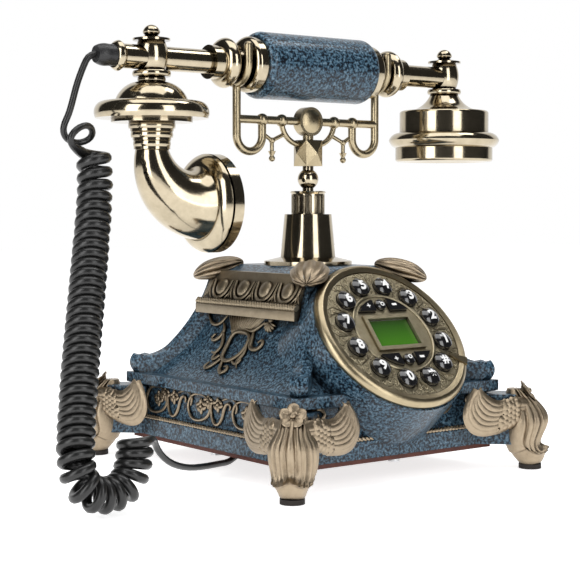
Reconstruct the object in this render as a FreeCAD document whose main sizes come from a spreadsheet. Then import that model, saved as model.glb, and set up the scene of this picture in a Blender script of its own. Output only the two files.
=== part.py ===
"""Antique-style desk telephone: winged feet, pagoda base, push-button dial, fork cradle and handset."""
import FreeCAD
import Part
import Sketcher
import math
import os

Vector = FreeCAD.Vector
Rotation = FreeCAD.Rotation
Placement = FreeCAD.Placement
X_AXIS = Vector(1, 0, 0)
Y_AXIS = Vector(0, 1, 0)
Z_AXIS = Vector(0, 0, 1)

doc = FreeCAD.newDocument("desk_telephone")
sheet = doc.addObject("Spreadsheet::Sheet", "Sizes")

# Driving sizes in millimetres and degrees
SIZES = {
    # Plan of the base: one moulding profile runs round a rectangle that is deeper than it is wide
    "depth_extra": 10.0,
    "plate_bottom": 11.0,
    "plate_thickness": 2.5,
    "plate_inset": 1.5,
    "plinth_half": 66.5,
    "band_height": 8.5,
    "ledge_depth": 1.5,
    "frieze_lean": 1.5,
    "frieze_height": 18.0,
    "frieze_hollow": 60.0,
    "fascia_overhang": 4.5,
    "fascia_cove": 1.5,
    "fascia_height": 5.5,
    "roof_foot_half": 60.5,
    "roof_top_half": 32.5,
    "roof_height": 57.0,
    "roof_radius": 70.0,
    "cap_half": 24.0,
    "cap_height": 3.5,
    "wall": 5.0,
    "fit_play": 0.1,
    # Corner ridges with their upturned ends
    "ridge_width": 9.0,
    "ridge_rise": 1.2,
    "ridge_knee_half": 50.3,
    "ridge_knee_height": 16.8,
    "ridge_low_half": 60.5,
    "ridge_low_height": 9.4,
    "ridge_tip_half": 65.0,
    "ridge_tip_height": 10.4,
    "ridge_sweep": 100.0,
    "ridge_curl": 17.0,
    "ridge_tip_curl": 9.0,
    # Cornice bands on the left and right of the roof
    "cornice_top_half": 35.0,
    "cornice_egg_half": 40.5,
    "cornice_band_half": 43.5,
    "cornice_half_length": 42.0,
    "cornice_fascia": 4.5,
    "cornice_egg": 10.5,
    "cornice_rope": 3.0,
    "cornice_band": 4.5,
    # Leaves on the four corners of the roof's top
    "leaf_length": 27.0,
    "leaf_width": 16.0,
    "leaf_thickness": 9.0,
    "leaf_out": 31.0,
    "leaf_droop": 14.0,
    # Dial boss and dial
    "dial_tilt": 40.4,
    "dial_forward": 68.2,
    "dial_height": 73.0,
    "boss_radius": 45.6,
    "boss_flare": 2.4,
    "boss_depth": 46.0,
    "boss_bore": 37.0,
    "bezel_radius": 44.6,
    "bezel_inner": 38.8,
    "bezel_ledge": 36.4,
    "bezel_seat": 1.0,
    "bezel_height": 4.2,
    "bezel_round": 4.0,
    "stop_length": 12.0,
    "stop_root": 5.0,
    "stop_tip": 1.6,
    "stop_thickness": 1.4,
    "stop_angle": -30.0,
    "face_thickness": 2.2,
    "face_gap": 0.2,
    "ring_radius": 23.6,
    "ring_wire": 0.9,
    "lcd_width": 27.0,
    "lcd_depth": 17.0,
    "lcd_frame": 2.2,
    "lcd_frame_height": 1.3,
    "lcd_sunk": 0.6,
    "key_circle": 29.5,
    "key_radius": 5.2,
    "key_flange": 1.1,
    "key_flange_height": 1.5,
    "key_rise": 2.2,
    "key_dome": 1.8,
    "key_travel": 1.5,
    "key_play": 0.3,
    "small_key_flange": 0.6,
    "first_key_angle": -15.0,
    "small_key_radius": 3.0,
    "small_key_rise": 1.6,
    "lens_inner": 4.8,
    "lens_low": 13.4,
    "lens_arc": 21.0,
    "board_gap": 0.9,
    "board_thickness": 1.6,
    "board_margin": 0.8,
    "post_circle": 34.0,
    "post_radius": 1.8,
    # Feet
    "pad_diameter": 12.0,
    "pad_height": 2.5,
    "foot_stance": 13.5,
    "pier_half_width": 8.5,
    "pier_reach": 11.0,
    "wing_thickness": 4.5,
    "wing_out": 1.5,
    "wing_slant": 10.0,
    "wing_root_along": 5.0,
    "wing_root_low": 25.0,
    "wing_root_high": 36.5,
    "wing_tip_along": 38.0,
    "wing_tip_high": 44.0,
    "wing_dip": 26.0,
    "wing_end_along": 40.5,
    "wing_end_high": 31.0,
    "wing_low_along": 27.0,
    "wing_low_high": 21.5,
    "wing_round": 16.0,
    "wing_heel_along": 16.0,
    "wing_heel_high": 24.0,
    "flower_radius": 6.6,
    "flower_thickness": 4.0,
    "flower_height": 38.5,
    "flower_out": -4.0,
    "toe_out": 7.4,
    "toe_height": 7.6,
    "toe_radius": 3.3,
    "toe_half_width": 7.0,
    # Bottom fasteners and what stands on the bottom plate
    "screw_head_radius": 3.0,
    "screw_head_height": 1.6,
    "screw_radius": 1.4,
    "screw_length": 9.0,
    "screw_play": 0.1,
    "pillar_height": 7.5,
    "pillar_radius": 3.0,
    "main_board_width": 76.0,
    "main_board_depth": 70.0,
    "main_board_side_gap": 4.5,
    "main_board_back_gap": 1.5,
    "pillar_margin": 5.0,
    "ringer_radius": 18.0,
    "ringer_height": 11.0,
    "ringer_x": -30.0,
    "ringer_y": -36.0,
    "jack_width": 13.0,
    "jack_height": 11.5,
    "jack_length": 17.0,
    "jack_x": 25.0,
    "jack_play": 0.3,
    "plug_width": 9.9,
    "plug_height": 7.0,
    "plug_depth": 12.5,
    "jack_floor": 2.0,
    "gland_x": -46.0,
    "gland_y": 0.0,
    "gland_radius": 4.5,
    "gland_neck": 3.2,
    "gland_drop": 2.0,
    # Column, hook stem and hook switch
    "flange_radius": 24.0,
    "flange_edge": 2.2,
    "flange_height": 4.3,
    "cone_foot": 15.0,
    "cone_top": 12.8,
    "spigot_radius": 8.0,
    "spigot_length": 12.0,
    "stem_radius": 3.0,
    "stem_play": 0.35,
    "spring_bore": 8.0,
    "spring_floor": 3.0,
    "collar_radius": 9.1,
    "collar_height": 11.0,
    "collar_lip": 1.5,
    "flute_count": 18,
    "flute_radius": 0.8,
    "stem_show": 13.5,
    "stem_bead": 5.65,
    "stem_bead_lift": 6.5,
    "stem_foot_radius": 5.5,
    "stem_foot_height": 2.0,
    "stem_shoulder": 7.0,
    "shoulder_height": 2.0,
    "hook_travel": 4.0,
    "hook_spare": 0.4,
    "spring_turns": 6,
    "spring_wire": 1.0,
    "spring_radius": 5.6,
    "switch_width": 20.0,
    "switch_depth": 6.4,
    "switch_height": 10.0,
    "switch_arm": 16.0,
    "lever_thickness": 0.8,
    "lever_width": 4.0,
    "lever_play": 0.25,
    "bracket_thickness": 1.5,
    "bracket_back": 13.0,
    "bracket_foot": 12.0,
    # Cradle casting, its crossbar measured from the top of the base
    "cradle_height": 77.5,
    "cradle_wire": 4.4,
    "fork_half": 47.5,
    "fork_rise": 8.5,
    "loop_inner": 31.0,
    "loop_hang": 19.0,
    "bead_outer": 31.0,
    "bead_inner": 18.0,
    "bead_radius": 3.4,
    "brace_wire": 3.0,
    "hanger_half": 24.5,
    "hanger_wire": 2.2,
    "hanger_start": 7.0,
    "hanger_knot_drop": 10.8,
    "hanger_tip_drop": 22.0,
    "knot_radius": 1.7,
    "cup_radius": 2.1,
    "cup_height": 2.2,
    "drop_radius": 1.7,
    "block_half": 5.5,
    "block_height": 14.0,
    "block_facet": 2.4,
    "block_facet_flat": 0.4,
    "block_neck": 2.9,
    "block_gap": 2.2,
    "drum_radius": 7.8,
    "drum_half_depth": 3.2,
    "medallion_radius": 6.2,
    "medallion_height": 1.6,
    "medallion_sunk": 0.6,
    # Handset, turned about its long axis
    "handset_shift": 0.5,
    "axis_rise": 28.5,
    "rest_play": 0.3,
    "rest_gap": 0.02,
    "neck_radius": 8.0,
    "grip_half": 37.0,
    "grip_radius": 17.6,
    "grip_end_radius": 15.6,
    "grip_round": 4.5,
    "ring_outer": 14.6,
    "ring_length": 7.0,
    "groove_length": 7.5,
    "bulb_radius": 13.0,
    "bulb_length": 8.5,
    "end_collar_radius": 8.8,
    "end_collar_length": 6.0,
    "tube_radius": 6.1,
    "tube_wall": 1.6,
    "post_half": 100.2,
    "barrel_radius": 8.4,
    "barrel_waist": 6.6,
    "barrel_up": 8.5,
    "barrel_down": 6.5,
    "tube_past_post": 17.5,
    "boot_collar_radius": 7.6,
    "boot_collar_length": 4.5,
    "boot_radius": 5.4,
    "boot_tip_radius": 4.2,
    "boot_length": 10.2,
    "finial_disc": 9.4,
    "finial_disc_height": 2.2,
    "finial_ball": 4.4,
    "finial_height": 8.0,
    "finial_peg": 3.0,
    "finial_peg_length": 2.0,
    # Mouthpiece side
    "post_ring": 9.2,
    "post_ring_height": 2.9,
    "dome_radius": 18.5,
    "dome_height": 9.3,
    "disc_radius": 28.2,
    "disc_step": 24.0,
    "disc_step_height": 2.6,
    "disc_edge": 6.0,
    "disc_under": 20.5,
    "disc_under_height": 2.0,
    "disc_hollow": 16.0,
    "neck_top": 11.6,
    "neck_bottom": 9.2,
    "neck_length": 13.5,
    "neck_steps": 3,
    "neck_step_depth": 0.7,
    "horn_start": 8.4,
    "horn_end": 19.0,
    "horn_bend": 27.0,
    "horn_wall": 2.0,
    "bell_step": 0.4,
    "bell_radius": 25.5,
    "bell_flare": 5.0,
    "bell_groove": 1.3,
    "bell_groove_depth": 1.5,
    "bell_band": 5.7,
    "bell_lip": 2.4,
    "bell_sunk": 2.6,
    "mic_plate": 2.0,
    "mic_radius": 8.0,
    "mic_length": 9.0,
    # Receiver side
    "trumpet_top": 8.0,
    "trumpet_height": 9.5,
    "trumpet_hollow": 16.0,
    "cap_radius": 25.8,
    "cap_side": 12.7,
    "cap_crown": 1.6,
    "rim_radius": 32.0,
    "rim_height": 8.7,
    "ear_radius": 28.2,
    "ear_height": 8.1,
    "ear_dish": 3.0,
    "ear_wall": 3.0,
    "phone_radius": 20.0,
    "phone_height": 7.0,
    # Cord
    "cord_wire": 3.8,
    "curl_radius": 6.4,
    "curl_pitch": 4.6,
    "curl_gap": 0.42,
}

# Levels of the foot's carving: height over the pad, reach outwards, reach inwards, half width
FOOT_LEVELS = {
    "sole": (0.0, 6.6, 6.0, 7.0),
    "instep": (4.0, 9.0, 9.8, 9.8),
    "ankle": (8.5, 5.6, 12.3, 10.0),
    "shin": (14.5, 6.4, 14.0, 11.0),
    "knee": (22.5, 9.3, 15.0, 12.4),
    "thigh": (29.5, 6.5, 15.0, 11.5),
    "crest": (35.5, 0.6, 15.0, 9.5),
    "crown": (41.5, -7.0, 15.0, 6.0),
}


class Size(float):
    """A number that also knows the sheet expression it comes from."""

    def __new__(cls, number, text=None):
        made = float.__new__(cls, number)
        made.text = text if text else repr(float(number))
        return made

    def joined(self, other, sign, number, swap=False):
        other_text = other.text if isinstance(other, Size) else repr(float(other))
        first, last = (other_text, self.text) if swap else (self.text, other_text)
        return Size(number, "(" + first + " " + sign + " " + last + ")")

    def __add__(self, other):
        return self.joined(other, "+", float(self) + float(other))

    __radd__ = __add__

    def __sub__(self, other):
        return self.joined(other, "-", float(self) - float(other))

    def __rsub__(self, other):
        return self.joined(other, "-", float(other) - float(self), swap=True)

    def __mul__(self, other):
        return self.joined(other, "*", float(self) * float(other))

    __rmul__ = __mul__

    def __truediv__(self, other):
        return self.joined(other, "/", float(self) / float(other))

    def __neg__(self):
        return Size(-float(self), "(-" + self.text + ")")


class Sizes:
    """The sheet's sizes by name."""


S = Sizes()
row = 1


def keep_size(alias, number):
    """Write one size into the sheet and keep it by its name."""
    global row
    sheet.set("A" + str(row), alias)
    sheet.set("B" + str(row), str(number))
    sheet.setAlias("B" + str(row), alias)
    setattr(S, alias, Size(number, "Sizes." + alias))
    row += 1


for alias, number in SIZES.items():
    keep_size(alias, number)
for level, (height, out, inward, half) in FOOT_LEVELS.items():
    keep_size("foot_" + level + "_height", height)
    keep_size("foot_" + level + "_out", out)
    keep_size("foot_" + level + "_in", inward)
    keep_size("foot_" + level + "_half", half)
doc.recompute()

nodes = {}


def node(label, made):
    """Give a finished sub-part its name and keep it for the files."""
    made.Label = label
    nodes[label] = made
    return made


def bind(made, name, value):
    """Set a property and tie it to the sheet where the value comes from there."""
    setattr(made, name, float(value))
    if isinstance(value, Size):
        made.setExpression(name, value.text)


def at(x, y, z):
    return Placement(Vector(float(x), float(y), float(z)), Rotation())


def turned_at(x, y, z, axis, angle):
    return Placement(Vector(float(x), float(y), float(z)), Rotation(axis, float(angle)))


def cylinder(name, radius, height, place):
    made = doc.addObject("Part::Cylinder", name)
    bind(made, "Radius", radius)
    bind(made, "Height", height)
    made.Placement = place
    return made


def cone(name, radius, end_radius, height, place):
    made = doc.addObject("Part::Cone", name)
    bind(made, "Radius1", radius)
    bind(made, "Radius2", end_radius)
    bind(made, "Height", height)
    made.Placement = place
    return made


def box(name, length, width, height, place):
    """A box that is centred in plan and stands on its placement."""
    made = doc.addObject("Part::Box", name)
    bind(made, "Length", length)
    bind(made, "Width", width)
    bind(made, "Height", height)
    made.Placement = place.multiply(at(-length / 2, -width / 2, 0))
    return made


def sphere(name, radius, place):
    made = doc.addObject("Part::Sphere", name)
    bind(made, "Radius", radius)
    made.Placement = place
    return made


def ellipsoid(name, along_z, along_x, along_y, place):
    made = doc.addObject("Part::Ellipsoid", name)
    bind(made, "Radius1", along_z)
    bind(made, "Radius2", along_x)
    bind(made, "Radius3", along_y)
    made.Placement = place
    return made


def ring(name, radius, wire, place, sweep=360.0):
    made = doc.addObject("Part::Torus", name)
    bind(made, "Radius1", radius)
    bind(made, "Radius2", wire)
    made.Angle3 = sweep
    made.Placement = place
    return made


def fuse(name, shapes):
    made = doc.addObject("Part::MultiFuse", name)
    made.Shapes = shapes
    return made


def common(name, shapes):
    made = doc.addObject("Part::MultiCommon", name)
    made.Shapes = shapes
    return made


def cut(name, base, tools):
    made = doc.addObject("Part::Cut", name)
    made.Base = base
    made.Tool = tools[0] if len(tools) == 1 else fuse(name + "_tools", tools)
    return made


def group(name, shapes):
    made = doc.addObject("Part::Compound", name)
    made.Links = shapes
    return made


def arc_between(start, end, bend):
    """Arc from start to end of the radius bend, with its centre on the left if bend is positive."""
    chord = end - start
    left = Vector(-chord.y, chord.x, 0).normalize()
    rise = math.sqrt(max(bend * bend - (chord.Length / 2) ** 2, 0.0))
    centre = (start + end) * 0.5 + left * math.copysign(rise, bend)
    first = math.atan2(start.y - centre.y, start.x - centre.x)
    last = math.atan2(end.y - centre.y, end.x - centre.x)
    circle = Part.Circle(centre, Z_AXIS, abs(bend))
    if bend > 0:
        return Part.ArcOfCircle(circle, first, last), 1, 2
    return Part.ArcOfCircle(circle, last, first), 2, 1


def outline(sketch, points):
    """Close an outline through points of (x, y) or, where an arc leads to the point, (x, y, bend)."""
    places = [Vector(float(p[0]), float(p[1]), 0) for p in points]
    edges = []
    for i, point in enumerate(points):
        start, end = places[i - 1], places[i]
        if len(point) == 3:
            curve, first, last = arc_between(start, end, float(point[2]))
        else:
            curve, first, last = Part.LineSegment(start, end), 1, 2
        edges.append((sketch.addGeometry(curve, False), first, last))
    for i, point in enumerate(points):
        number, first, last = edges[i]
        following = edges[(i + 1) % len(edges)]
        sketch.addConstraint(Sketcher.Constraint("Coincident", number, last, following[0], following[1]))
        for kind, value, axis in (("DistanceX", point[0], -2), ("DistanceY", point[1], -1)):
            if float(value) == 0.0:
                sketch.addConstraint(Sketcher.Constraint("PointOnObject", number, last, axis))
            else:
                made = sketch.addConstraint(Sketcher.Constraint(kind, -1, 1, number, last, float(value)))
                tie(sketch, made, value)
        if len(point) == 3:
            radius = point[2] if float(point[2]) > 0 else -point[2]
            made = sketch.addConstraint(Sketcher.Constraint("Radius", number, float(radius)))
            tie(sketch, made, radius)


def tie(sketch, constraint, value):
    if isinstance(value, Size):
        sketch.setExpression("Constraints[" + str(constraint) + "]", value.text)


def origin_plane(body, role):
    return [plane for plane in body.Origin.OriginFeatures if plane.Role == role][0]


def body_sketch(body, role, points, offset=None):
    sketch = body.newObject("Sketcher::SketchObject", body.Name + "_outline")
    sketch.AttachmentSupport = (origin_plane(body, role), [""])
    sketch.MapMode = "FlatFace"
    if offset is not None:
        sketch.AttachmentOffset = at(0, 0, offset)
        if isinstance(offset, Size):
            sketch.setExpression("AttachmentOffset.Base.z", offset.text)
    outline(sketch, points)
    return sketch


def turned(name, points, place=None):
    """A piece turned about Z from its half outline of (radius, height) points."""
    body = doc.addObject("PartDesign::Body", name)
    sketch = body_sketch(body, "XZ_Plane", points)
    made = body.newObject("PartDesign::Revolution", name + "_turned")
    made.Profile = sketch
    made.ReferenceAxis = (sketch, ["V_Axis"])
    made.Angle = 360.0
    sketch.Visibility = False
    if place is not None:
        body.Placement = place
    return body


def padded(name, layers, place=None):
    """A piece raised from outlines in XY: each layer is (points, bottom, height)."""
    body = doc.addObject("PartDesign::Body", name)
    for points, bottom, height in layers:
        sketch = body_sketch(body, "XY_Plane", points, bottom)
        made = body.newObject("PartDesign::Pad", name + "_layer")
        made.Profile = sketch
        bind(made, "Length", height)
    if place is not None:
        body.Placement = place
    return body


def drawn_prism(name, points, place, length, both_ways):
    """A sketch set in space and raised along its normal."""
    sketch = doc.addObject("Sketcher::SketchObject", name + "_outline")
    outline(sketch, points)
    sketch.Placement = place
    made = doc.addObject("Part::Extrusion", name)
    made.Base = sketch
    made.DirMode = "Normal"
    made.Solid = True
    made.Symmetric = both_ways
    bind(made, "LengthFwd", length)
    return made


def dome_bend(radius, rise):
    """Radius of the arc that closes a round piece of this radius with a dome of this rise."""
    return (radius * radius + rise * rise) / (2 * rise)


def mirrored(right):
    """Close a half outline on the right with its mirror image on the left."""
    left = []
    for i in range(len(right) - 1, -1, -1):
        point = right[i]
        after = right[i + 1] if i + 1 < len(right) else point
        if i + 1 < len(right) and len(after) == 3:
            left.append((-point[0], point[1], after[2]))
        else:
            left.append((-point[0], point[1]))
    return right + left


# Upright planes of the base: one faces front and one faces right
FRONT_PLANE = Placement(Vector(0, 0, 0), Rotation(X_AXIS, 90))
SIDE_PLANE = Placement(Vector(0, 0, 0), Rotation(Z_AXIS, 90)).multiply(FRONT_PLANE)


def moulded(name, half_outline):
    """A form whose profile runs round the base's rectangle, mitred at the corners."""
    span = 4 * (S.plinth_half + S.depth_extra)
    wide = drawn_prism(name + "_wide", mirrored(half_outline(0)), FRONT_PLANE, span, True)
    deep = drawn_prism(name + "_deep", mirrored(half_outline(S.depth_extra)), SIDE_PLANE, span, True)
    return common(name, [wide, deep])


# Levels of the base
plinth_bottom = S.plate_bottom + S.plate_thickness
band_top = plinth_bottom + S.band_height
frieze_half = S.plinth_half - S.ledge_depth
frieze_top_half = frieze_half - S.frieze_lean
frieze_top = band_top + S.frieze_height
fascia_half = frieze_top_half + S.fascia_overhang
deck = frieze_top + S.fascia_cove + S.fascia_height
roof_top = deck + S.roof_height
cap_top = roof_top + S.cap_height
inside_half = frieze_top_half - S.wall
inside_top = roof_top - S.wall


def base_profile(extra):
    return [
        (S.plinth_half + extra, plinth_bottom),
        (S.plinth_half + extra, band_top),
        (frieze_half + extra, band_top + S.ledge_depth),
        (frieze_top_half + extra, frieze_top, -S.frieze_hollow),
        (fascia_half + extra, frieze_top + S.fascia_cove),
        (fascia_half + extra, deck),
        (S.roof_foot_half + extra, deck),
        (S.roof_top_half + extra, roof_top, -S.roof_radius),
        (S.cap_half + extra, cap_top),
    ]


def cavity_profile(extra):
    return [
        (inside_half + extra, plinth_bottom),
        (inside_half + extra, deck - S.wall),
        (S.roof_foot_half - S.wall + extra, deck - S.wall),
        (S.roof_top_half - S.wall + extra, inside_top, -S.roof_radius),
    ]


def ridge_profile(extra):
    return [
        (S.ridge_tip_half + extra, deck),
        (S.ridge_tip_half + extra, deck + S.ridge_tip_height, S.ridge_tip_curl),
        (S.ridge_low_half + extra, deck + S.ridge_low_height, -S.ridge_tip_curl),
        (S.ridge_knee_half + extra, deck + S.ridge_knee_height, -S.ridge_curl),
        (S.roof_top_half + S.ridge_rise + extra, roof_top + S.ridge_rise, -S.ridge_sweep),
    ]


# The four corners of the base: name, side in X, side in Y, turn of a piece that looks inwards there
CORNERS = [
    ("front_left", -1, -1, -45.0),
    ("front_right", 1, -1, 45.0),
    ("back_left", -1, 1, -135.0),
    ("back_right", 1, 1, 135.0),
]

# Dial frame: its own X runs right, Y up the slope and Z out of the face
DIAL = turned_at(0, -S.dial_forward, S.dial_height, X_AXIS, 90 - S.dial_tilt)


def on_dial(x, y, z):
    return DIAL.multiply(at(x, y, z))


# Housing: pagoda body, ridges on the hips, cornices, corner leaves and the round dial boss
housing_body = moulded("housing_body", base_profile)
ridge_form = moulded("ridge_form", ridge_profile)
slabs = []
leaves = []
for name, side_x, side_y, turn in CORNERS:
    middle = (S.roof_top_half + S.ridge_tip_half) / 2
    slab_place = turned_at(side_x * middle, side_y * (middle + S.depth_extra), deck, Z_AXIS, turn)
    slab_length = 2 * (S.ridge_tip_half - S.roof_top_half + S.ridge_width)
    slabs.append(box("slab_" + name, S.ridge_width, slab_length, 2 * S.roof_height, slab_place))
    leaf_place = turned_at(side_x * S.leaf_out, side_y * (S.leaf_out + S.depth_extra),
                           roof_top + S.ridge_rise, Z_AXIS, turn)
    leaf_place = leaf_place.multiply(turned_at(0, 0, 0, X_AXIS, S.leaf_droop))
    leaves.append(ellipsoid("leaf_" + name, S.leaf_thickness / 2, S.leaf_width / 2, S.leaf_length / 2,
                            leaf_place))
ridges = common("ridges", [ridge_form, fuse("slabs", slabs)])

cornices = []
cornice_low = roof_top - S.cornice_fascia - S.cornice_egg - S.cornice_rope - S.cornice_band
for name, side in (("left", -1), ("right", 1)):
    egg_low = roof_top - S.cornice_fascia - S.cornice_egg
    right_points = [
        (S.cap_half, roof_top),
        (S.cap_half, cornice_low),
        (S.cornice_band_half, cornice_low),
        (S.cornice_band_half, cornice_low + S.cornice_band),
        (S.cornice_egg_half, egg_low),
        (S.cornice_top_half, roof_top - S.cornice_fascia, -S.cornice_egg),
        (S.cornice_top_half, roof_top),
    ]
    points = right_points if side > 0 else [(-p[0], p[1]) if len(p) == 2 else (-p[0], p[1], -p[2])
                                            for p in right_points]
    cornices.append(drawn_prism("cornice_" + name, points, FRONT_PLANE, 2 * S.cornice_half_length, True))

boss = cone("dial_boss_cone", S.boss_radius, S.boss_radius + S.boss_flare, S.boss_depth,
            DIAL.multiply(turned_at(0, 0, 0, X_AXIS, 180)))
under_span = 4 * (S.plinth_half + S.depth_extra)
underside = box("underside", under_span, under_span, plinth_bottom, at(0, 0, 0))
dial_boss = cut("dial_boss", boss, [underside])
piers = []
for name, side_x, side_y, turn in CORNERS:
    pier_place = turned_at(side_x * S.plinth_half, side_y * (S.plinth_half + S.depth_extra), plinth_bottom,
                           Z_AXIS, turn)
    piers.append(box("pier_" + name, 2 * S.pier_half_width, 2 * S.pier_reach, frieze_top - plinth_bottom,
                     pier_place))
housing_outside = fuse("housing_outside", [housing_body, ridges, dial_boss] + cornices + leaves + piers)

cavity = moulded("cavity", cavity_profile)
dial_bore = cone("dial_bore", S.boss_bore, S.boss_bore + S.boss_flare, S.boss_depth,
                 DIAL.multiply(turned_at(0, 0, 0, X_AXIS, 180)))
dial_seat = cylinder("dial_seat", S.bezel_radius + S.fit_play, 2 * S.bezel_height, DIAL)
spigot_hole = cylinder("spigot_hole", S.spigot_radius, 2 * S.roof_height, at(0, 0, deck))
main_board_bottom = plinth_bottom + S.pillar_height
main_board_x = inside_half - S.main_board_side_gap - S.main_board_width / 2
main_board_y = inside_half + S.depth_extra - S.main_board_back_gap - S.main_board_depth / 2
jack_bottom = main_board_bottom + S.board_thickness
jack_back = frieze_top_half + S.depth_extra
jack_hole = box("jack_hole", S.jack_width + 2 * S.jack_play, 4 * S.wall, S.jack_height + 2 * S.jack_play,
                at(S.jack_x, jack_back, jack_bottom - S.jack_play))
SCREWS = [
    (inside_half + S.wall / 2, 0.0),
    (-inside_half - S.wall / 2, 0.0),
    (0.0, inside_half + S.depth_extra + S.wall / 2),
    (0.0, -inside_half - S.depth_extra - S.wall / 2),
]
screw_holes = []
for x, y in SCREWS:
    screw_holes.append(cylinder("pilot_hole", S.screw_radius, S.screw_length, at(x, y, S.plate_bottom)))
node("base_housing", cut("housing", housing_outside,
                         [cavity, dial_bore, dial_seat, spigot_hole, jack_hole] + screw_holes))

# Bottom plate with its screws, and the pillars that carry the main board
plate_half = S.plinth_half - S.plate_inset
plate_blank = box("plate_blank", 2 * plate_half, 2 * (plate_half + S.depth_extra), S.plate_thickness,
                  at(0, 0, S.plate_bottom))
pillars = []
for side_x in (-1, 1):
    for side_y in (-1, 1):
        x = main_board_x + side_x * (S.main_board_width / 2 - S.pillar_margin)
        y = main_board_y + side_y * (S.main_board_depth / 2 - S.pillar_margin)
        pillars.append(cylinder("pillar", S.pillar_radius, S.pillar_height, at(x, y, plinth_bottom)))
plate_holes = [cylinder("plate_hole", S.screw_radius + S.screw_play, 2 * S.plate_thickness,
                        at(x, y, S.plate_bottom - S.plate_thickness / 2)) for x, y in SCREWS]
plate_holes.append(cylinder("gland_hole", S.gland_neck, 2 * S.plate_thickness,
                            at(S.gland_x, S.gland_y, S.plate_bottom - S.plate_thickness / 2)))
node("bottom_plate", cut("plate", fuse("plate_with_pillars", [plate_blank] + pillars), plate_holes))

screws = []
for x, y in SCREWS:
    screws.append(turned("screw", [
        (0.0, S.plate_bottom - S.screw_head_height),
        (S.screw_head_radius, S.plate_bottom - S.screw_head_height),
        (S.screw_head_radius, S.plate_bottom),
        (S.screw_radius, S.plate_bottom),
        (S.screw_radius, S.plate_bottom + S.screw_length),
        (0.0, S.plate_bottom + S.screw_length),
    ], at(x, y, 0)))
node("bottom_screws", group("screws", screws))


# Feet: a carved leg on each corner, with a wing along each side of the plinth, a flower and a curled toe
def foot(label, side_x, side_y, turn):
    reach_x = side_x * (S.plinth_half + S.foot_stance)
    reach_y = side_y * (S.plinth_half + S.depth_extra + S.foot_stance)
    place = turned_at(reach_x, reach_y, 0, Z_AXIS, turn)
    sections = []
    for level in FOOT_LEVELS:
        out = getattr(S, "foot_" + level + "_out")
        inward = getattr(S, "foot_" + level + "_in")
        section = doc.addObject("Part::Ellipse", label + "_" + level)
        bind(section, "MajorRadius", getattr(S, "foot_" + level + "_half"))
        bind(section, "MinorRadius", (out + inward) / 2)
        height = S.pad_height + getattr(S, "foot_" + level + "_height")
        section.Placement = place.multiply(at(0, (inward - out) / 2, height))
        sections.append(section)
    leg = doc.addObject("Part::Loft", label + "_leg")
    leg.Sections = sections
    leg.Solid = True
    toe = ellipsoid(label + "_toe", S.toe_radius, S.toe_half_width, S.toe_radius,
                    place.multiply(at(0, -S.toe_out, S.toe_height)))
    flower = cylinder(label + "_flower", S.flower_radius, S.flower_thickness,
                      place.multiply(turned_at(0, -S.flower_out, S.flower_height, X_AXIS, 60)))
    wing_points = [
        (S.wing_root_along, S.wing_root_low),
        (S.wing_root_along, S.wing_root_high),
        (S.wing_tip_along, S.wing_tip_high, S.wing_dip),
        (S.wing_end_along, S.wing_end_high, -S.wing_round),
        (S.wing_low_along, S.wing_low_high, -S.wing_round),
        (S.wing_heel_along, S.wing_heel_high, -S.wing_round),
    ]
    wings = []
    for side in (-1, 1):
        along = place.multiply(turned_at(0, -S.wing_out, 0, Z_AXIS, 90 - side * (45 - S.wing_slant)))
        face = along.multiply(turned_at(0, 0, 0, X_AXIS, 90))
        wings.append(drawn_prism(label + "_wing", wing_points, face, S.wing_thickness, True))
    whole = fuse(label + "_whole", [leg, toe, flower] + wings)
    node(label, cut(label + "_cut", whole, [housing_outside]))
    return cylinder(label + "_pad", S.pad_diameter / 2, S.pad_height, at(reach_x, reach_y, 0))


node("foot_pads", group("pads", [foot("foot_" + name, side_x, side_y, turn)
                                 for name, side_x, side_y, turn in CORNERS]))

# Line socket on the back, cord gland, main board and ringer
jack_place = at(S.jack_x, jack_back - S.jack_length / 2, jack_bottom)
jack_blank = box("jack_blank", S.jack_width, S.jack_length, S.jack_height, jack_place)
plug_room = box("plug_room", S.plug_width, 2 * S.plug_depth, S.plug_height,
                at(S.jack_x, jack_back, jack_bottom + S.jack_floor))
node("line_jack", cut("jack", jack_blank, [plug_room]))

gland_bottom = S.plate_bottom - S.gland_drop
node("cord_gland", turned("gland", [
    (0.0, gland_bottom),
    (S.gland_neck, gland_bottom),
    (S.gland_radius, S.plate_bottom),
    (S.gland_neck - S.fit_play, S.plate_bottom),
    (S.gland_neck - S.fit_play, plinth_bottom + S.gland_drop),
    (0.0, plinth_bottom + S.gland_drop),
], at(S.gland_x, S.gland_y, 0)))

node("main_board", box("board", S.main_board_width, S.main_board_depth, S.board_thickness,
                       at(main_board_x, main_board_y, main_board_bottom)))
node("ringer", turned("ringer_can", [
    (0.0, 0.0),
    (S.ringer_radius, 0.0),
    (S.ringer_radius, S.ringer_height / 2),
    (S.ringer_radius / 2, S.ringer_height),
    (0.0, S.ringer_height),
], at(S.ringer_x, S.ringer_y, plinth_bottom)))


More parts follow.
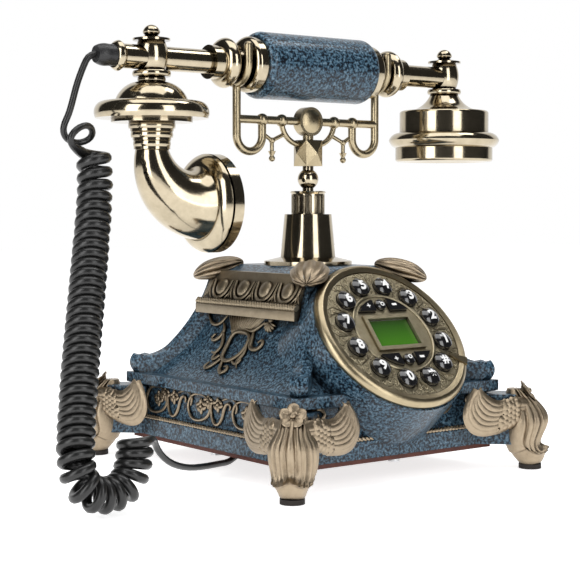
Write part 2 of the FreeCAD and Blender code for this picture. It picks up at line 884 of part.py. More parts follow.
# Dial: bezel with finger stop, face with key holes and display frame, keys, display and key board
node("dial_bezel", fuse("bezel", [
    turned("bezel_ring", [
        (S.bezel_ledge, 0.0),
        (S.bezel_radius, 0.0),
        (S.bezel_radius, S.bezel_height / 4),
        (S.bezel_radius - 3 * S.bezel_height / 4, S.bezel_height, S.bezel_round),
        (S.bezel_inner, S.bezel_height - S.bezel_seat / 2),
        (S.bezel_inner, S.bezel_seat),
        (S.bezel_ledge, S.bezel_seat),
    ], DIAL),
    padded("finger_stop", [([
        (S.bezel_radius - S.stop_length, -S.stop_tip / 2),
        (S.bezel_radius - S.stop_thickness, -S.stop_root / 2),
        (S.bezel_radius - S.stop_thickness, S.stop_root / 2),
        (S.bezel_radius - S.stop_length, S.stop_tip / 2),
    ], S.bezel_height - S.bezel_seat, S.stop_thickness)],
        DIAL.multiply(turned_at(0, 0, 0, Z_AXIS, S.stop_angle))),
]))

face_top = S.bezel_seat + S.face_thickness
flange_top = S.bezel_seat - S.key_play
flange_bottom = flange_top - S.key_flange_height
board_top = flange_bottom - S.key_travel - S.board_gap


def key_angle(number):
    return float(S.first_key_angle) + 30.0 * number


def key_place(number):
    angle = math.radians(key_angle(number))
    return on_dial(S.key_circle * math.cos(angle), S.key_circle * math.sin(angle), 0)


def round_key(name, radius, flange, rise, dome, place):
    return turned(name, [
        (0.0, flange_bottom),
        (radius + flange, flange_bottom),
        (radius + flange, flange_top),
        (radius, flange_top),
        (radius, face_top + rise),
        (0.0, face_top + rise + dome, dome_bend(radius, dome)),
    ], place)


def root(size):
    return Size(math.sqrt(size), "sqrt(" + size.text + ")")


def lens(side_x, side_y, grow):
    """Outline between the display frame and a circle, grown by a margin on all sides."""
    inner = S.lens_inner - grow
    low = S.lens_low - grow
    arc = S.lens_arc + grow
    flip = side_x * side_y
    return [
        (side_x * inner, side_y * low),
        (side_x * root(arc * arc - low * low), side_y * low),
        (side_x * inner, side_y * root(arc * arc - inner * inner), flip * arc),
    ]


KEY_NAMES = ["key_1", "key_2", "key_3", "key_4", "key_5", "key_6", "key_7", "key_8", "key_9", "key_0",
             "key_star", "key_hash"]
key_holes = []
for number, name in enumerate(KEY_NAMES):
    node(name, round_key(name, S.key_radius, S.key_flange, S.key_rise, S.key_dome, key_place(number)))
    key_holes.append(cylinder("hole_" + name, S.key_radius + S.key_play, 2 * S.face_thickness,
                              key_place(number)))

small_key_out = (S.lens_low + S.lens_arc) / 2
for row_name, side_y in (("top", 1), ("bottom", -1)):
    name = "function_" + row_name + "_middle"
    place = on_dial(0, side_y * small_key_out, 0)
    node(name, round_key(name, S.small_key_radius, S.small_key_flange, S.small_key_rise,
                         S.key_dome / 2, place))
    key_holes.append(cylinder("hole_" + name, S.small_key_radius + S.key_play, 2 * S.face_thickness, place))
    for side_name, side_x in (("left", -1), ("right", 1)):
        name = "function_" + row_name + "_" + side_name
        node(name, padded(name, [
            (lens(side_x, side_y, S.small_key_flange), flange_bottom, S.key_flange_height),
            (lens(side_x, side_y, 0), flange_bottom, face_top + S.small_key_rise - flange_bottom),
        ], DIAL))
        key_holes.append(padded("hole_" + name, [
            (lens(side_x, side_y, S.key_play), 0.0, 2 * S.face_thickness),
        ], DIAL))

lcd_outer_width = S.lcd_width + 2 * S.lcd_frame
lcd_outer_depth = S.lcd_depth + 2 * S.lcd_frame
face_posts = []
for number in range(4):
    angle = math.radians(90.0 * number)
    post_place = on_dial(S.post_circle * math.cos(angle), S.post_circle * math.sin(angle), board_top)
    face_posts.append(cylinder("face_post", S.post_radius, S.bezel_seat - board_top, post_place))
face_blank = fuse("face_blank", [
    cylinder("face_disc", S.bezel_inner - S.face_gap, S.face_thickness, on_dial(0, 0, S.bezel_seat)),
    ring("face_ring", S.ring_radius, S.ring_wire, on_dial(0, 0, face_top)),
    box("lcd_frame", lcd_outer_width, lcd_outer_depth, S.lcd_frame_height, on_dial(0, 0, face_top)),
] + face_posts)
lcd_window = box("lcd_window", S.lcd_width, S.lcd_depth, 4 * S.face_thickness, on_dial(0, 0, 0))
node("dial_plate", cut("face", face_blank, key_holes + [lcd_window]))
node("lcd_panel", box("lcd", S.lcd_width - 2 * S.face_gap, S.lcd_depth - 2 * S.face_gap,
                      face_top - S.lcd_sunk - board_top, on_dial(0, 0, board_top)))
node("key_board", cylinder("keys_board", S.boss_bore - S.board_margin, S.board_thickness,
                           on_dial(0, 0, board_top - S.board_thickness)))


# Column: flange and cone in one, with a fluted collar that closes the spring's bore
cradle_level = cap_top + S.cradle_height
block_top = cradle_level - S.drum_radius - S.block_gap
block_bottom = block_top - S.block_height
collar_top = block_bottom - S.stem_show
column_top = collar_top - S.collar_lip - S.collar_height
stem_hole = S.stem_radius + S.stem_play
spring_low = cap_top + S.spring_floor
node("column_body", turned("column", [
    (stem_hole, cap_top - S.spigot_length),
    (S.spigot_radius - S.fit_play, cap_top - S.spigot_length),
    (S.spigot_radius - S.fit_play, cap_top),
    (S.flange_radius, cap_top),
    (S.flange_radius, cap_top + S.flange_edge),
    (S.cone_foot, cap_top + S.flange_height),
    (S.cone_top, column_top),
    (S.spring_bore, column_top),
    (S.spring_bore, spring_low),
    (stem_hole, spring_low),
]))
flutes = []
for number in range(int(S.flute_count)):
    angle = 2 * math.pi * number / int(S.flute_count)
    flutes.append(cylinder("flute", S.flute_radius, S.collar_height - 2 * S.flute_radius,
                           at(S.collar_radius * math.cos(angle), S.collar_radius * math.sin(angle),
                              column_top + S.flute_radius)))
node("column_collar", cut("collar", turned("collar_blank", [
    (stem_hole, column_top),
    (S.collar_radius, column_top),
    (S.collar_radius, column_top + S.collar_height),
    (S.collar_radius + S.collar_lip / 2, column_top + S.collar_height + S.collar_lip / 2),
    (S.collar_radius, collar_top),
    (stem_hole, collar_top),
]), flutes))

# Cradle: hook stem, and one casting of block, drum, crossbar, loops, hangers and forks
stem_foot_top = cap_top - S.spigot_length - S.hook_travel - S.hook_spare
stem_foot_bottom = stem_foot_top - S.stem_foot_height
shoulder_top = column_top - S.hook_travel - S.hook_spare
shoulder_bottom = shoulder_top - S.shoulder_height
bead_middle = collar_top + S.stem_bead_lift
bead_half = root(S.stem_bead * S.stem_bead - S.stem_radius * S.stem_radius)
node("cradle_stem", turned("stem", [
    (0.0, stem_foot_bottom),
    (S.stem_foot_radius, stem_foot_bottom),
    (S.stem_foot_radius, stem_foot_top),
    (S.stem_radius, stem_foot_top),
    (S.stem_radius, shoulder_bottom),
    (S.stem_shoulder, shoulder_bottom),
    (S.stem_shoulder, shoulder_top),
    (S.stem_radius, shoulder_top),
    (S.stem_radius, bead_middle - bead_half),
    (S.stem_radius, bead_middle + bead_half, S.stem_bead),
    (S.stem_radius, block_bottom),
    (0.0, block_bottom),
]))


def rod(name, start, end, radius):
    """A round rod from start to end."""
    run = end - start
    made = cylinder(name, radius, run.Length, at(0, 0, 0))
    made.Placement = Placement(start, Rotation(Z_AXIS, run))
    return made


def upright_arc(name, radius, wire, x, z, turn, sweep):
    """Part of a ring in an upright plane, swept downwards from its own +X side."""
    place = turned_at(x, 0, z, Z_AXIS, turn).multiply(turned_at(0, 0, 0, X_AXIS, -90))
    return ring(name, radius, wire, place, sweep)


wire = S.cradle_wire / 2
fork_bend = S.neck_radius + S.rest_play + wire
axis_height = cradle_level + S.axis_rise
fork_level = axis_height + S.rest_play - S.rest_gap
loop_bend = (S.fork_half - S.loop_inner) / 2
loop_level = cradle_level - S.loop_hang + wire + loop_bend
brace_bend = S.bead_inner - S.block_half
brace_x = S.block_half + root(brace_bend * brace_bend - S.hanger_start * S.hanger_start)
casting = [
    rod("crossbar", Vector(-S.fork_half, 0, cradle_level), Vector(S.fork_half, 0, cradle_level), wire),
    cylinder("drum", S.drum_radius, 2 * S.drum_half_depth,
             turned_at(0, S.drum_half_depth, cradle_level, X_AXIS, 90)),
    cylinder("block_neck", S.block_neck, S.block_gap + S.drum_radius / 2, at(0, 0, block_top)),
    box("block_core", 2 * S.block_half, 2 * S.block_half, S.block_height, at(0, 0, block_bottom)),
]
for number in range(4):
    facet = doc.addObject("Part::Wedge", "facet")
    bind(facet, "Xmin", -S.block_half)
    bind(facet, "Xmax", S.block_half)
    bind(facet, "Zmin", 0.0)
    bind(facet, "Zmax", S.block_height)
    bind(facet, "Ymin", 0.0)
    bind(facet, "Ymax", S.block_facet)
    bind(facet, "X2min", -S.block_facet_flat)
    bind(facet, "X2max", S.block_facet_flat)
    bind(facet, "Z2min", S.block_height / 2 - S.block_facet_flat)
    bind(facet, "Z2max", S.block_height / 2 + S.block_facet_flat)
    facet.Placement = turned_at(0, 0, 0, Z_AXIS, 90.0 * number).multiply(at(0, S.block_half, block_bottom))
    casting.append(facet)
for side in (-1, 1):
    fork_x = side * S.fork_half
    outwards = 0 if side > 0 else 180
    casting.append(cylinder("fork_stem", wire, fork_level - fork_bend - loop_level,
                            at(fork_x, 0, loop_level)))
    casting.append(cylinder("loop_leg", wire, cradle_level - loop_level,
                            at(side * S.loop_inner, 0, loop_level)))
    loop_x = side * (S.loop_inner + loop_bend)
    casting.append(upright_arc("loop", loop_bend, wire, loop_x, loop_level, 0, 180.0))
    casting.append(upright_arc("fork", fork_bend, wire, fork_x, fork_level, 90, 180.0))
    for prong in (-1, 1):
        casting.append(cylinder("prong", wire, S.fork_rise, at(fork_x, prong * fork_bend, fork_level)))
        casting.append(sphere("prong_tip", wire, at(fork_x, prong * fork_bend, fork_level + S.fork_rise)))
    for bead in (S.bead_outer, S.bead_inner):
        casting.append(sphere("bead", S.bead_radius, at(side * bead, 0, cradle_level)))
    casting.append(upright_arc("brace", brace_bend, S.brace_wire / 2, side * S.block_half, cradle_level,
                               outwards, 90.0))
    knot = Vector(side * S.hanger_half, 0, cradle_level - S.hanger_knot_drop)
    drop = Vector(side * S.hanger_half, 0, cradle_level - S.hanger_tip_drop + S.drop_radius)
    for start_x in (S.loop_inner, brace_x):
        casting.append(rod("hanger", Vector(side * start_x, 0, cradle_level - S.hanger_start), knot,
                           S.hanger_wire / 2))
    casting.append(rod("drop_rod", knot, drop, S.hanger_wire / 2))
    casting.append(sphere("drop_knot", S.knot_radius, Placement(knot, Rotation())))
    casting.append(cone("drop_cup", S.hanger_wire / 2, S.cup_radius, S.cup_height,
                        Placement(drop + Z_AXIS * float(S.drop_radius), Rotation())))
    casting.append(sphere("drop_ball", S.drop_radius, Placement(drop, Rotation())))
medallion_place = turned_at(0, S.medallion_sunk - S.drum_half_depth, cradle_level, X_AXIS, 90)
medallion_seat = cylinder("medallion_seat", S.medallion_radius + S.fit_play, 2 * S.medallion_height,
                          medallion_place)
node("cradle_frame", cut("cradle", fuse("casting", casting), [medallion_seat]))
node("cradle_medallion", turned("medallion", [
    (0.0, 0.0),
    (S.medallion_radius, 0.0),
    (S.medallion_radius, S.medallion_sunk),
    (0.0, S.medallion_sunk + S.medallion_height, dome_bend(S.medallion_radius, S.medallion_height)),
], medallion_place))

# Hook switch on its bracket under the roof, with the lever that the stem's foot presses
lever_top = stem_foot_bottom - S.lever_play
switch_top = lever_top - 2 * S.lever_thickness - S.lever_play
switch_bottom = switch_top - S.switch_height
hinge_x = S.stem_foot_radius - S.switch_arm
hinge_z = lever_top - S.lever_thickness / 2
pin_length = S.lever_width + 4 * S.lever_thickness
ears = []
for side in (-1, 1):
    ears.append(box("switch_ear", 3 * S.lever_thickness, S.lever_thickness, 3 * S.lever_thickness,
                    at(hinge_x, side * (S.lever_width / 2 + S.lever_thickness), switch_top)))
bracket_end = S.bracket_back + S.bracket_thickness
node("hook_switch", fuse("switch", ears + [
    box("switch_case", S.switch_width, S.switch_depth, S.switch_height,
        at(hinge_x + S.switch_width / 2 - 2 * S.lever_thickness, 0, switch_bottom)),
    cylinder("lever_pin", S.lever_thickness / 2, pin_length,
             turned_at(hinge_x, pin_length / 2, hinge_z, X_AXIS, 90)),
    box("bracket_shelf", S.switch_width / 2, bracket_end + S.switch_depth / 2, S.bracket_thickness,
        at(0, bracket_end / 2 - S.switch_depth / 4, switch_bottom - S.bracket_thickness)),
    box("bracket_back", S.switch_width / 2, S.bracket_thickness,
        inside_top - switch_bottom + S.bracket_thickness,
        at(0, S.bracket_back + S.bracket_thickness / 2, switch_bottom - S.bracket_thickness)),
    box("bracket_flange", S.switch_width / 2, S.bracket_foot, S.bracket_thickness,
        at(0, S.bracket_back + S.bracket_foot / 2, inside_top - S.bracket_thickness)),
]))
lever_blank = fuse("lever_blank", [
    box("lever_blade", S.switch_arm, S.lever_width, S.lever_thickness,
        at(hinge_x + S.switch_arm / 2, 0, lever_top - S.lever_thickness)),
    cylinder("lever_knuckle", S.lever_thickness, S.lever_width,
             turned_at(hinge_x, S.lever_width / 2, hinge_z, X_AXIS, 90)),
])
node("switch_lever", cut("lever", lever_blank, [
    cylinder("lever_bore", S.lever_thickness / 2 + S.fit_play, 2 * S.lever_width,
             turned_at(hinge_x, S.lever_width, hinge_z, X_AXIS, 90)),
]))

# Handset: grip, ferrules and one tube that carries them and the two posts
tube_hole = S.tube_radius + S.fit_play


def along_handset(side):
    """Frame whose Z runs outwards along the handset to the right or left."""
    return turned_at(S.handset_shift, 0, axis_height, Y_AXIS, 90 * side)


node("handset_grip", turned("grip", [
    (tube_hole, -S.grip_half),
    (S.grip_end_radius, -S.grip_half),
    (S.grip_radius, -S.grip_half + S.grip_round, S.grip_round),
    (S.grip_radius, S.grip_half - S.grip_round),
    (S.grip_end_radius, S.grip_half, S.grip_round),
    (tube_hole, S.grip_half),
], along_handset(1)))
groove_start = S.grip_half + S.ring_length
bulb_start = groove_start + S.groove_length
bulb_end = bulb_start + S.bulb_length
ferrule_end = bulb_end + S.end_collar_length
for name, side in (("left", -1), ("right", 1)):
    bulb_bend = 0.56 * S.bulb_length
    node("grip_end_" + name, turned("ferrule_" + name, [
        (tube_hole, S.grip_half),
        (S.ring_outer, S.grip_half),
        (S.ring_outer, groove_start - S.ring_length / 3),
        (S.ring_outer - S.ring_length / 3, groove_start, S.ring_length / 2),
        (S.neck_radius, groove_start),
        (S.neck_radius, bulb_start),
        (S.bulb_radius, bulb_start + S.bulb_length / 2, bulb_bend),
        (S.end_collar_radius, bulb_end, bulb_bend),
        (S.end_collar_radius, ferrule_end),
        (tube_hole, ferrule_end),
    ], along_handset(side)))

tube_left = S.post_half + S.tube_past_post
tube_inside = S.tube_radius - S.tube_wall
collar_end = tube_left + S.boot_collar_length
node("handset_tube", turned("tube", [
    (tube_inside, -S.post_half),
    (S.tube_radius, -S.post_half),
    (S.tube_radius, tube_left),
    (S.boot_collar_radius, tube_left + S.boot_collar_length / 2, S.boot_collar_length),
    (S.tube_radius, collar_end, S.boot_collar_length),
    (tube_inside, collar_end),
], along_handset(-1)))
boot_end = collar_end + S.boot_length
node("cord_boot", turned("boot", [
    (0.0, collar_end - S.boot_collar_length),
    (tube_inside - S.fit_play, collar_end - S.boot_collar_length),
    (tube_inside - S.fit_play, collar_end),
    (S.boot_radius, collar_end),
    (S.boot_radius, collar_end + S.boot_length / 3),
    (S.boot_tip_radius, boot_end, S.boot_length),
    (0.0, boot_end),
], along_handset(-1)))

left_x = S.handset_shift - S.post_half
right_x = S.handset_shift + S.post_half
barrel_top = axis_height + S.barrel_up
barrel_low = axis_height - S.barrel_down
barrel_half = (S.barrel_up + S.barrel_down) / 2
barrel_swell = S.barrel_radius - S.barrel_waist
barrel_bend = (barrel_half * barrel_half + barrel_swell * barrel_swell) / (2 * barrel_swell)
ring_low = barrel_low - S.post_ring_height
ring_bend = 0.75 * S.post_ring_height
barrel = [
    (0.0, barrel_top - S.finial_peg_length),
    (S.finial_peg, barrel_top - S.finial_peg_length),
    (S.finial_peg, barrel_top),
    (S.barrel_waist, barrel_top),
    (S.barrel_waist, barrel_low, -barrel_bend),
    (S.post_ring, barrel_low),
    (S.post_ring, ring_low, -ring_bend),
    (S.barrel_waist, ring_low),
]
dome_top = ring_low - S.post_ring_height
dome_low = dome_top - S.dome_height
left_turned = turned("left_turned", barrel + [
    (S.barrel_waist, dome_top, -ring_bend),
    (S.post_ring, dome_top),
    (S.dome_radius, dome_low, -1.5 * S.dome_height),
    (0.0, dome_low),
], at(left_x, 0, 0))
left_bore = cylinder("left_bore", tube_hole, 4 * S.barrel_radius,
                     turned_at(left_x - 2 * S.barrel_radius, 0, axis_height, Y_AXIS, 90))
node("post_left", cut("left_post", left_turned, [left_bore]))
right_turned = turned("right_turned", barrel + [(0.0, ring_low)], at(right_x, 0, 0))
right_bore = cylinder("right_bore", tube_hole, 2 * S.barrel_radius + S.fit_play,
                      turned_at(right_x - 2 * S.barrel_radius, 0, axis_height, Y_AXIS, 90))
node("post_right", cut("right_post", right_turned, [right_bore]))

finial_waist = barrel_top + 1.2 * S.finial_disc_height
finial_crown = barrel_top + 2 * S.finial_disc_height
finial_top = barrel_top + S.finial_height
finials = []
for name, x in (("left", left_x), ("right", right_x)):
    finials.append(turned("finial_" + name, [
        (0.0, barrel_top - S.finial_peg_length + S.fit_play),
        (S.finial_peg - S.fit_play, barrel_top - S.finial_peg_length + S.fit_play),
        (S.finial_peg - S.fit_play, barrel_top),
        (S.finial_disc, barrel_top),
        (S.finial_disc, barrel_top + S.finial_disc_height / 2),
        (S.finial_ball, barrel_top + S.finial_disc_height),
        (S.finial_peg, finial_waist),
        (S.finial_ball, finial_crown, S.finial_disc_height),
        (0.0, finial_top, dome_bend(S.finial_ball, finial_top - finial_crown)),
    ], at(x, 0, 0)))
node("finials", group("finial_pair", finials))

# Mouthpiece: stepped disc and neck under the left post, bent horn, bell and microphone
step_low = dome_low - S.disc_step_height
edge_low = step_low - S.disc_edge
under_low = edge_low - S.disc_under_height
neck_low = under_low - S.neck_length
disc_points = [
    (S.disc_hollow, dome_low),
    (S.disc_step, dome_low),
    (S.disc_radius, step_low, -2 * S.disc_step_height),
    (S.disc_radius, edge_low, -S.disc_edge),
    (S.disc_under, edge_low),
    (S.disc_under, under_low),
]
step_count = int(S.neck_steps)
step_height = S.neck_length / step_count
for number in range(step_count):
    step_radius = S.neck_top - number * (S.neck_top - S.neck_bottom) / (step_count - 1)
    step_top = under_low - number * step_height
    disc_points.append((step_radius, step_top))
    disc_points.append((step_radius, step_top - 0.7 * step_height, -step_height))
    if number < step_count - 1:
        disc_points.append((step_radius - S.neck_step_depth, step_top - 0.7 * step_height))
        disc_points.append((step_radius - S.neck_step_depth, step_top - step_height))
neck_bore = S.horn_start - S.horn_wall
disc_points += [
    (S.neck_bottom, neck_low),
    (neck_bore, neck_low),
    (neck_bore, edge_low),
    (S.disc_hollow, edge_low),
]
node("mouthpiece_disc", turned("disc", disc_points, at(left_x, 0, 0)))


def bent_horn(name, shrink):
    """The horn's quarter bend, lofted through circles that widen along it."""
    count = 7
    circles = []
    for number in range(count):
        share = number / (count - 1)
        angle = share * math.pi / 2
        circle = doc.addObject("Part::Circle", name + "_circle")
        bind(circle, "Radius", S.horn_start + share * (S.horn_end - S.horn_start) - shrink)
        circle.Placement = turned_at(left_x + S.horn_bend * (1 - math.cos(angle)), 0,
                                     neck_low - S.horn_bend * math.sin(angle), Y_AXIS, 180 - 90 * share)
        circles.append(circle)
    made = doc.addObject("Part::Loft", name)
    made.Sections = circles
    made.Solid = True
    return made


node("horn_elbow", cut("elbow", bent_horn("horn_outside", 0), [bent_horn("horn_inside", S.horn_wall)]))
BELL = turned_at(left_x + S.horn_bend, 0, neck_low - S.horn_bend, Y_AXIS, 90)
bell_back = S.bell_flare + S.bell_groove
bell_end = bell_back + S.bell_band
mic_seat = bell_end - S.bell_sunk - S.mic_plate
node("horn_bell", turned("bell", [
    (S.horn_end - S.horn_wall, 0.0),
    (S.horn_end + S.bell_step, 0.0),
    (S.bell_radius, S.bell_flare, 1.6 * S.bell_flare),
    (S.bell_radius - S.bell_groove_depth, S.bell_flare),
    (S.bell_radius - S.bell_groove_depth, bell_back),
    (S.bell_radius, bell_back),
    (S.bell_radius, bell_end),
    (S.bell_radius - S.bell_lip, bell_end),
    (S.bell_radius - S.bell_lip, mic_seat),
], BELL))
node("microphone", turned("mic", [
    (0.0, mic_seat - S.mic_length),
    (S.mic_radius, mic_seat - S.mic_length),
    (S.mic_radius, mic_seat),
    (S.bell_radius - S.bell_lip - S.fit_play, mic_seat),
    (S.bell_radius - S.bell_lip - S.fit_play, mic_seat + S.mic_plate),
    (0.0, mic_seat + S.mic_plate),
], BELL))

# Receiver: trumpet and cap in one, ear cap and earphone
crown_low = ring_low - S.trumpet_height
side_low = crown_low - S.cap_side
rim_low = side_low - S.rim_height
ear_low = rim_low - S.ear_height
phone_room = S.phone_radius + S.key_play
rim_bend = 0.7 * S.rim_height
node("receiver_cap", turned("cap", [
    (0.0, ring_low),
    (S.trumpet_top, ring_low),
    (S.cap_radius - S.cap_crown, crown_low, S.trumpet_hollow),
    (S.cap_radius, crown_low - S.cap_crown, -S.cap_crown),
    (S.cap_radius, side_low),
    (S.rim_radius, side_low - S.rim_height / 2, -rim_bend),
    (S.ear_radius, rim_low, -rim_bend),
    (phone_room, rim_low),
    (phone_room, crown_low - S.ear_wall),
    (0.0, crown_low - S.ear_wall),
], at(right_x, 0, 0)))
dish_radius = S.ear_radius - S.ear_wall
node("ear_cap", turned("ear", [
    (0.0, rim_low),
    (S.ear_radius, rim_low),
    (S.ear_radius, ear_low + S.ear_wall / 2),
    (S.ear_radius - S.ear_wall / 2, ear_low, -S.ear_wall / 2),
    (dish_radius, ear_low),
    (0.0, ear_low + S.ear_dish, dome_bend(dish_radius, S.ear_dish)),
], at(right_x, 0, 0)))
node("earphone", cylinder("phone", S.phone_radius, S.phone_height, at(right_x, 0, rim_low)))

# Hook spring between the bore's floor and the stem's shoulder
spring_path = doc.addObject("Part::Helix", "spring_path")
spring_rise = shoulder_bottom - spring_low - S.spring_wire
bind(spring_path, "Pitch", spring_rise / int(S.spring_turns))
bind(spring_path, "Height", spring_rise)
bind(spring_path, "Radius", S.spring_radius)
spring_path.Placement = at(0, 0, spring_low + S.spring_wire / 2)
spring_section = doc.addObject("Part::Circle", "spring_section")
bind(spring_section, "Radius", S.spring_wire / 2 - S.fit_play)
spring_section.Placement = turned_at(S.spring_radius, 0, spring_low + S.spring_wire / 2, X_AXIS, 90)
spring = doc.addObject("Part::Sweep", "spring")
spring.Sections = [spring_section]
spring.Spine = (spring_path, ["Edge1"])
spring.Solid = True
spring.Frenet = True
node("hook_spring", spring)

# Curly cord: an upper lead with one open loop, a hanging U of curls, and a lower lead under the base
UPPER_LEAD = [
    (-138.7, 0, 206.1), (-142.5, 0, 198.2), (-144.9, 0.2, 189.5), (-146.7, 0.5, 183.6),
    (-149.1, 1, 178.7), (-149.0, 2, 174.8), (-145.8, 3.5, 171.3), (-138.8, 5, 169.8),
    (-133.0, 3.2, 172.3), (-133.5, 0, 176.3), (-138.3, -3.2, 178.9), (-145.0, -5.2, 177.0),
    (-149.6, -5.6, 172.4), (-147.6, -3.8, 168.4),
]
CURL_AXIS = [
    (-136.0, -4.5, 166), (-136.0, -5.2, 158), (-136.3, -6.4, 150), (-138.8, -9.5, 138),
    (-152.5, -27, 104), (-167, -45, 69), (-178, -59.5, 38), (-181.2, -64.8, 25.5),
    (-177.8, -65.6, 13.6), (-165, -63.4, 8.9), (-152.4, -61, 12.2), (-147, -58.8, 23),
    (-146.2, -58, 32.5),
]
LOWER_LEAD = [
    (-128.5, -45.5, 30.3), (-122.6, -39.8, 22.4), (-111.8, -34, 14.6), (-97.1, -26.4, 9.8),
    (-81.8, -18.5, 7.7), (-66, -10.4, 6.6), (-55, -4.7, 5.6),
]
LEFTMOST = Vector(-0.79, 0.61, 0)


def smooth_ways(points, first, last):
    """Directions at points: the given ones at both ends and the neighbours' chord in between."""
    between = [(points[i + 1] - points[i - 1]).normalize() for i in range(1, len(points) - 1)]
    return list(zip(points, [first] + between + [last]))


def biarc(start, start_way, end, end_way):
    """Two arcs that join two points along two directions."""
    span = end - start
    ways = start_way + end_way
    spread = 2 * (1 - start_way.dot(end_way))
    along = span.dot(ways)
    reach = (math.sqrt(along * along + spread * span.dot(span)) - along) / spread
    middle = (start + end + (start_way - end_way) * reach) * 0.5
    edges = []
    for first, way, last in ((start, start_way, middle), (end, end_way * -1, middle)):
        chord_middle = (first + last) * 0.5
        half_turn = way.getAngle(last - first)
        corner = first + way * reach
        bulge = math.tan(half_turn / 2) / math.tan(half_turn)
        peak = chord_middle + (corner - chord_middle) * bulge
        ends = (first, last) if first is start else (last, first)
        edges.append(Part.Arc(ends[0], peak, ends[1]).toShape())
    return edges


def curl_nodes():
    """Points and directions along the curls, four to each turn."""
    axis = Part.BSplineCurve()
    axis.interpolate([Vector(*point) for point in CURL_AXIS])
    steps = 6000
    low, high = axis.FirstParameter, axis.LastParameter
    places = [axis.value(low + (high - low) * i / steps) for i in range(steps + 1)]
    ways = [axis.tangent(low + (high - low) * i / steps)[0].normalize() for i in range(steps + 1)]
    runs = [(places[i + 1] - places[i]).Length for i in range(steps)]
    bends = [ways[i].getAngle(ways[i + 1]) / runs[i] for i in range(steps)]
    window = steps // 60
    turns = [0.0]
    for i in range(steps):
        bend = max(bends[max(i - window, 0):i + window])
        inside = 1 - float(S.curl_radius) * bend
        pitch = max(float(S.curl_pitch), float(S.cord_wire + S.curl_gap) / inside)
        turns.append(turns[-1] + runs[i] / pitch)
    sides = [LEFTMOST]
    for way in ways:
        side = sides[-1] - way * sides[-1].dot(way)
        sides.append(side.normalize())
    sides.pop(0)
    last_side = LEFTMOST * -1
    over = ways[-1].cross(sides[-1])
    end_turn = math.atan2(last_side.dot(over), last_side.dot(sides[-1])) / (2 * math.pi)
    whole = round(turns[-1] - end_turn) + end_turn
    curls = []
    for i in range(steps + 1):
        angle = 2 * math.pi * turns[i] * whole / turns[-1]
        around = sides[i] * math.cos(angle) + ways[i].cross(sides[i]) * math.sin(angle)
        curls.append(places[i] + around * float(S.curl_radius))
    count = int(4 * whole)
    found = []
    for number in range(count + 1):
        wanted = turns[-1] * number / count
        i = min(max(next(k for k, turn in enumerate(turns) if turn >= wanted - 1e-9), 1), steps - 1)
        found.append((curls[i] if 0 < number < count else curls[0 if number == 0 else steps],
                      (curls[i + 1] - curls[i - 1]).normalize()))
    return found


def arcs_through(places):
    """Arcs that run through points along their directions."""
    edges = []
    for (start, start_way), (end, end_way) in zip(places, places[1:]):
        edges += biarc(start, start_way, end, end_way)
    return edges


def cord_tube(name, places):
    """The round cord swept along arcs through points."""
    start, way = places[0]
    section = Part.Wire([Part.Circle(start, way, float(S.cord_wire) / 2).toShape()])
    made = doc.addObject("Part::Feature", name)
    made.Shape = Part.Wire(arcs_through(places)).makePipeShell([section], True, False)
    return made


curls = curl_nodes()
boot_tip = Vector(float(S.handset_shift - boot_end), 0, float(axis_height))
gland_exit = Vector(float(S.gland_x), float(S.gland_y), float(gland_bottom))
upper_points = [boot_tip] + [Vector(*point) for point in UPPER_LEAD] + [curls[0][0]]
lower_points = [curls[-1][0]] + [Vector(*point) for point in LOWER_LEAD] + [gland_exit]
node("cord_upper_lead", cord_tube("upper_lead", smooth_ways(upper_points, X_AXIS * -1, curls[0][1])))
node("curly_cord", cord_tube("curls", curls))
node("cord_lower_lead", cord_tube("lower_lead", smooth_ways(lower_points, curls[-1][1], Z_AXIS)))

# Files
doc.recompute()
os.makedirs("parts", exist_ok=True)
for made in doc.Objects:
    if "Invalid" in made.State or "Error" in made.State:
        raise RuntimeError("failed object: " + made.Label)
for label, made in nodes.items():
    if made.Shape.isNull() or not made.Shape.isValid():
        raise RuntimeError("bad shape: " + label)
    made.Shape.exportStep("parts/" + label + ".step")
    print(label, len(made.Shape.Solids), round(made.Shape.Volume, 1))
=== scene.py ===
import math

import bpy
from mathutils import Matrix, Vector


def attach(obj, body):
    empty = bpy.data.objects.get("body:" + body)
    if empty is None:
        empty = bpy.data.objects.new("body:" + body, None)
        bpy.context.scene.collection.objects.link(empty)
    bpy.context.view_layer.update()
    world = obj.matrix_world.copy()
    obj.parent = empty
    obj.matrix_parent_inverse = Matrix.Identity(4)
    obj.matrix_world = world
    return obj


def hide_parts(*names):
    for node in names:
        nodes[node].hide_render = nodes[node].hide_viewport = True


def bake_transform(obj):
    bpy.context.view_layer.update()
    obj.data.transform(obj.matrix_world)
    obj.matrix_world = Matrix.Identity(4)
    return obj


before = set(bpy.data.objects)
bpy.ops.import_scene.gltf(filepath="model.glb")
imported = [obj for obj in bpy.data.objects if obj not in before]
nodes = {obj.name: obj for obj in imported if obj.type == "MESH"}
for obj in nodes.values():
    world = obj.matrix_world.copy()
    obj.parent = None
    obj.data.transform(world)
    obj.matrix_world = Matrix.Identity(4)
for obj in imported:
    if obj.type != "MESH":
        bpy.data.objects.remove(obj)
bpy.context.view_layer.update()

# Studio: an overhead softbox, two tall softboxes beside the camera and a small one high at the right,
# for the dial's sheen. The room behind the camera is dark, so polished metal shows light panels between
# dark bands.
CAMERA_PLACE = (-0.50636, -0.64394, 0.13949)
CAMERA_TURN = -37.495
CAMERA_DROP = 3.202
CAMERA_LENS = 93.35
LAMP_AIM = Vector((0, 0, 0.11))
LOOKING = (0.608, 0.792, -0.056)
ROOM_DARK = (0.035, 0.035, 0.035, 1)
ROOM_LIGHT = (0.95, 0.95, 0.95, 1)
ROOM_FILL = (0.42, 0.42, 0.42, 1)
DARK_UP_TO = 0.52
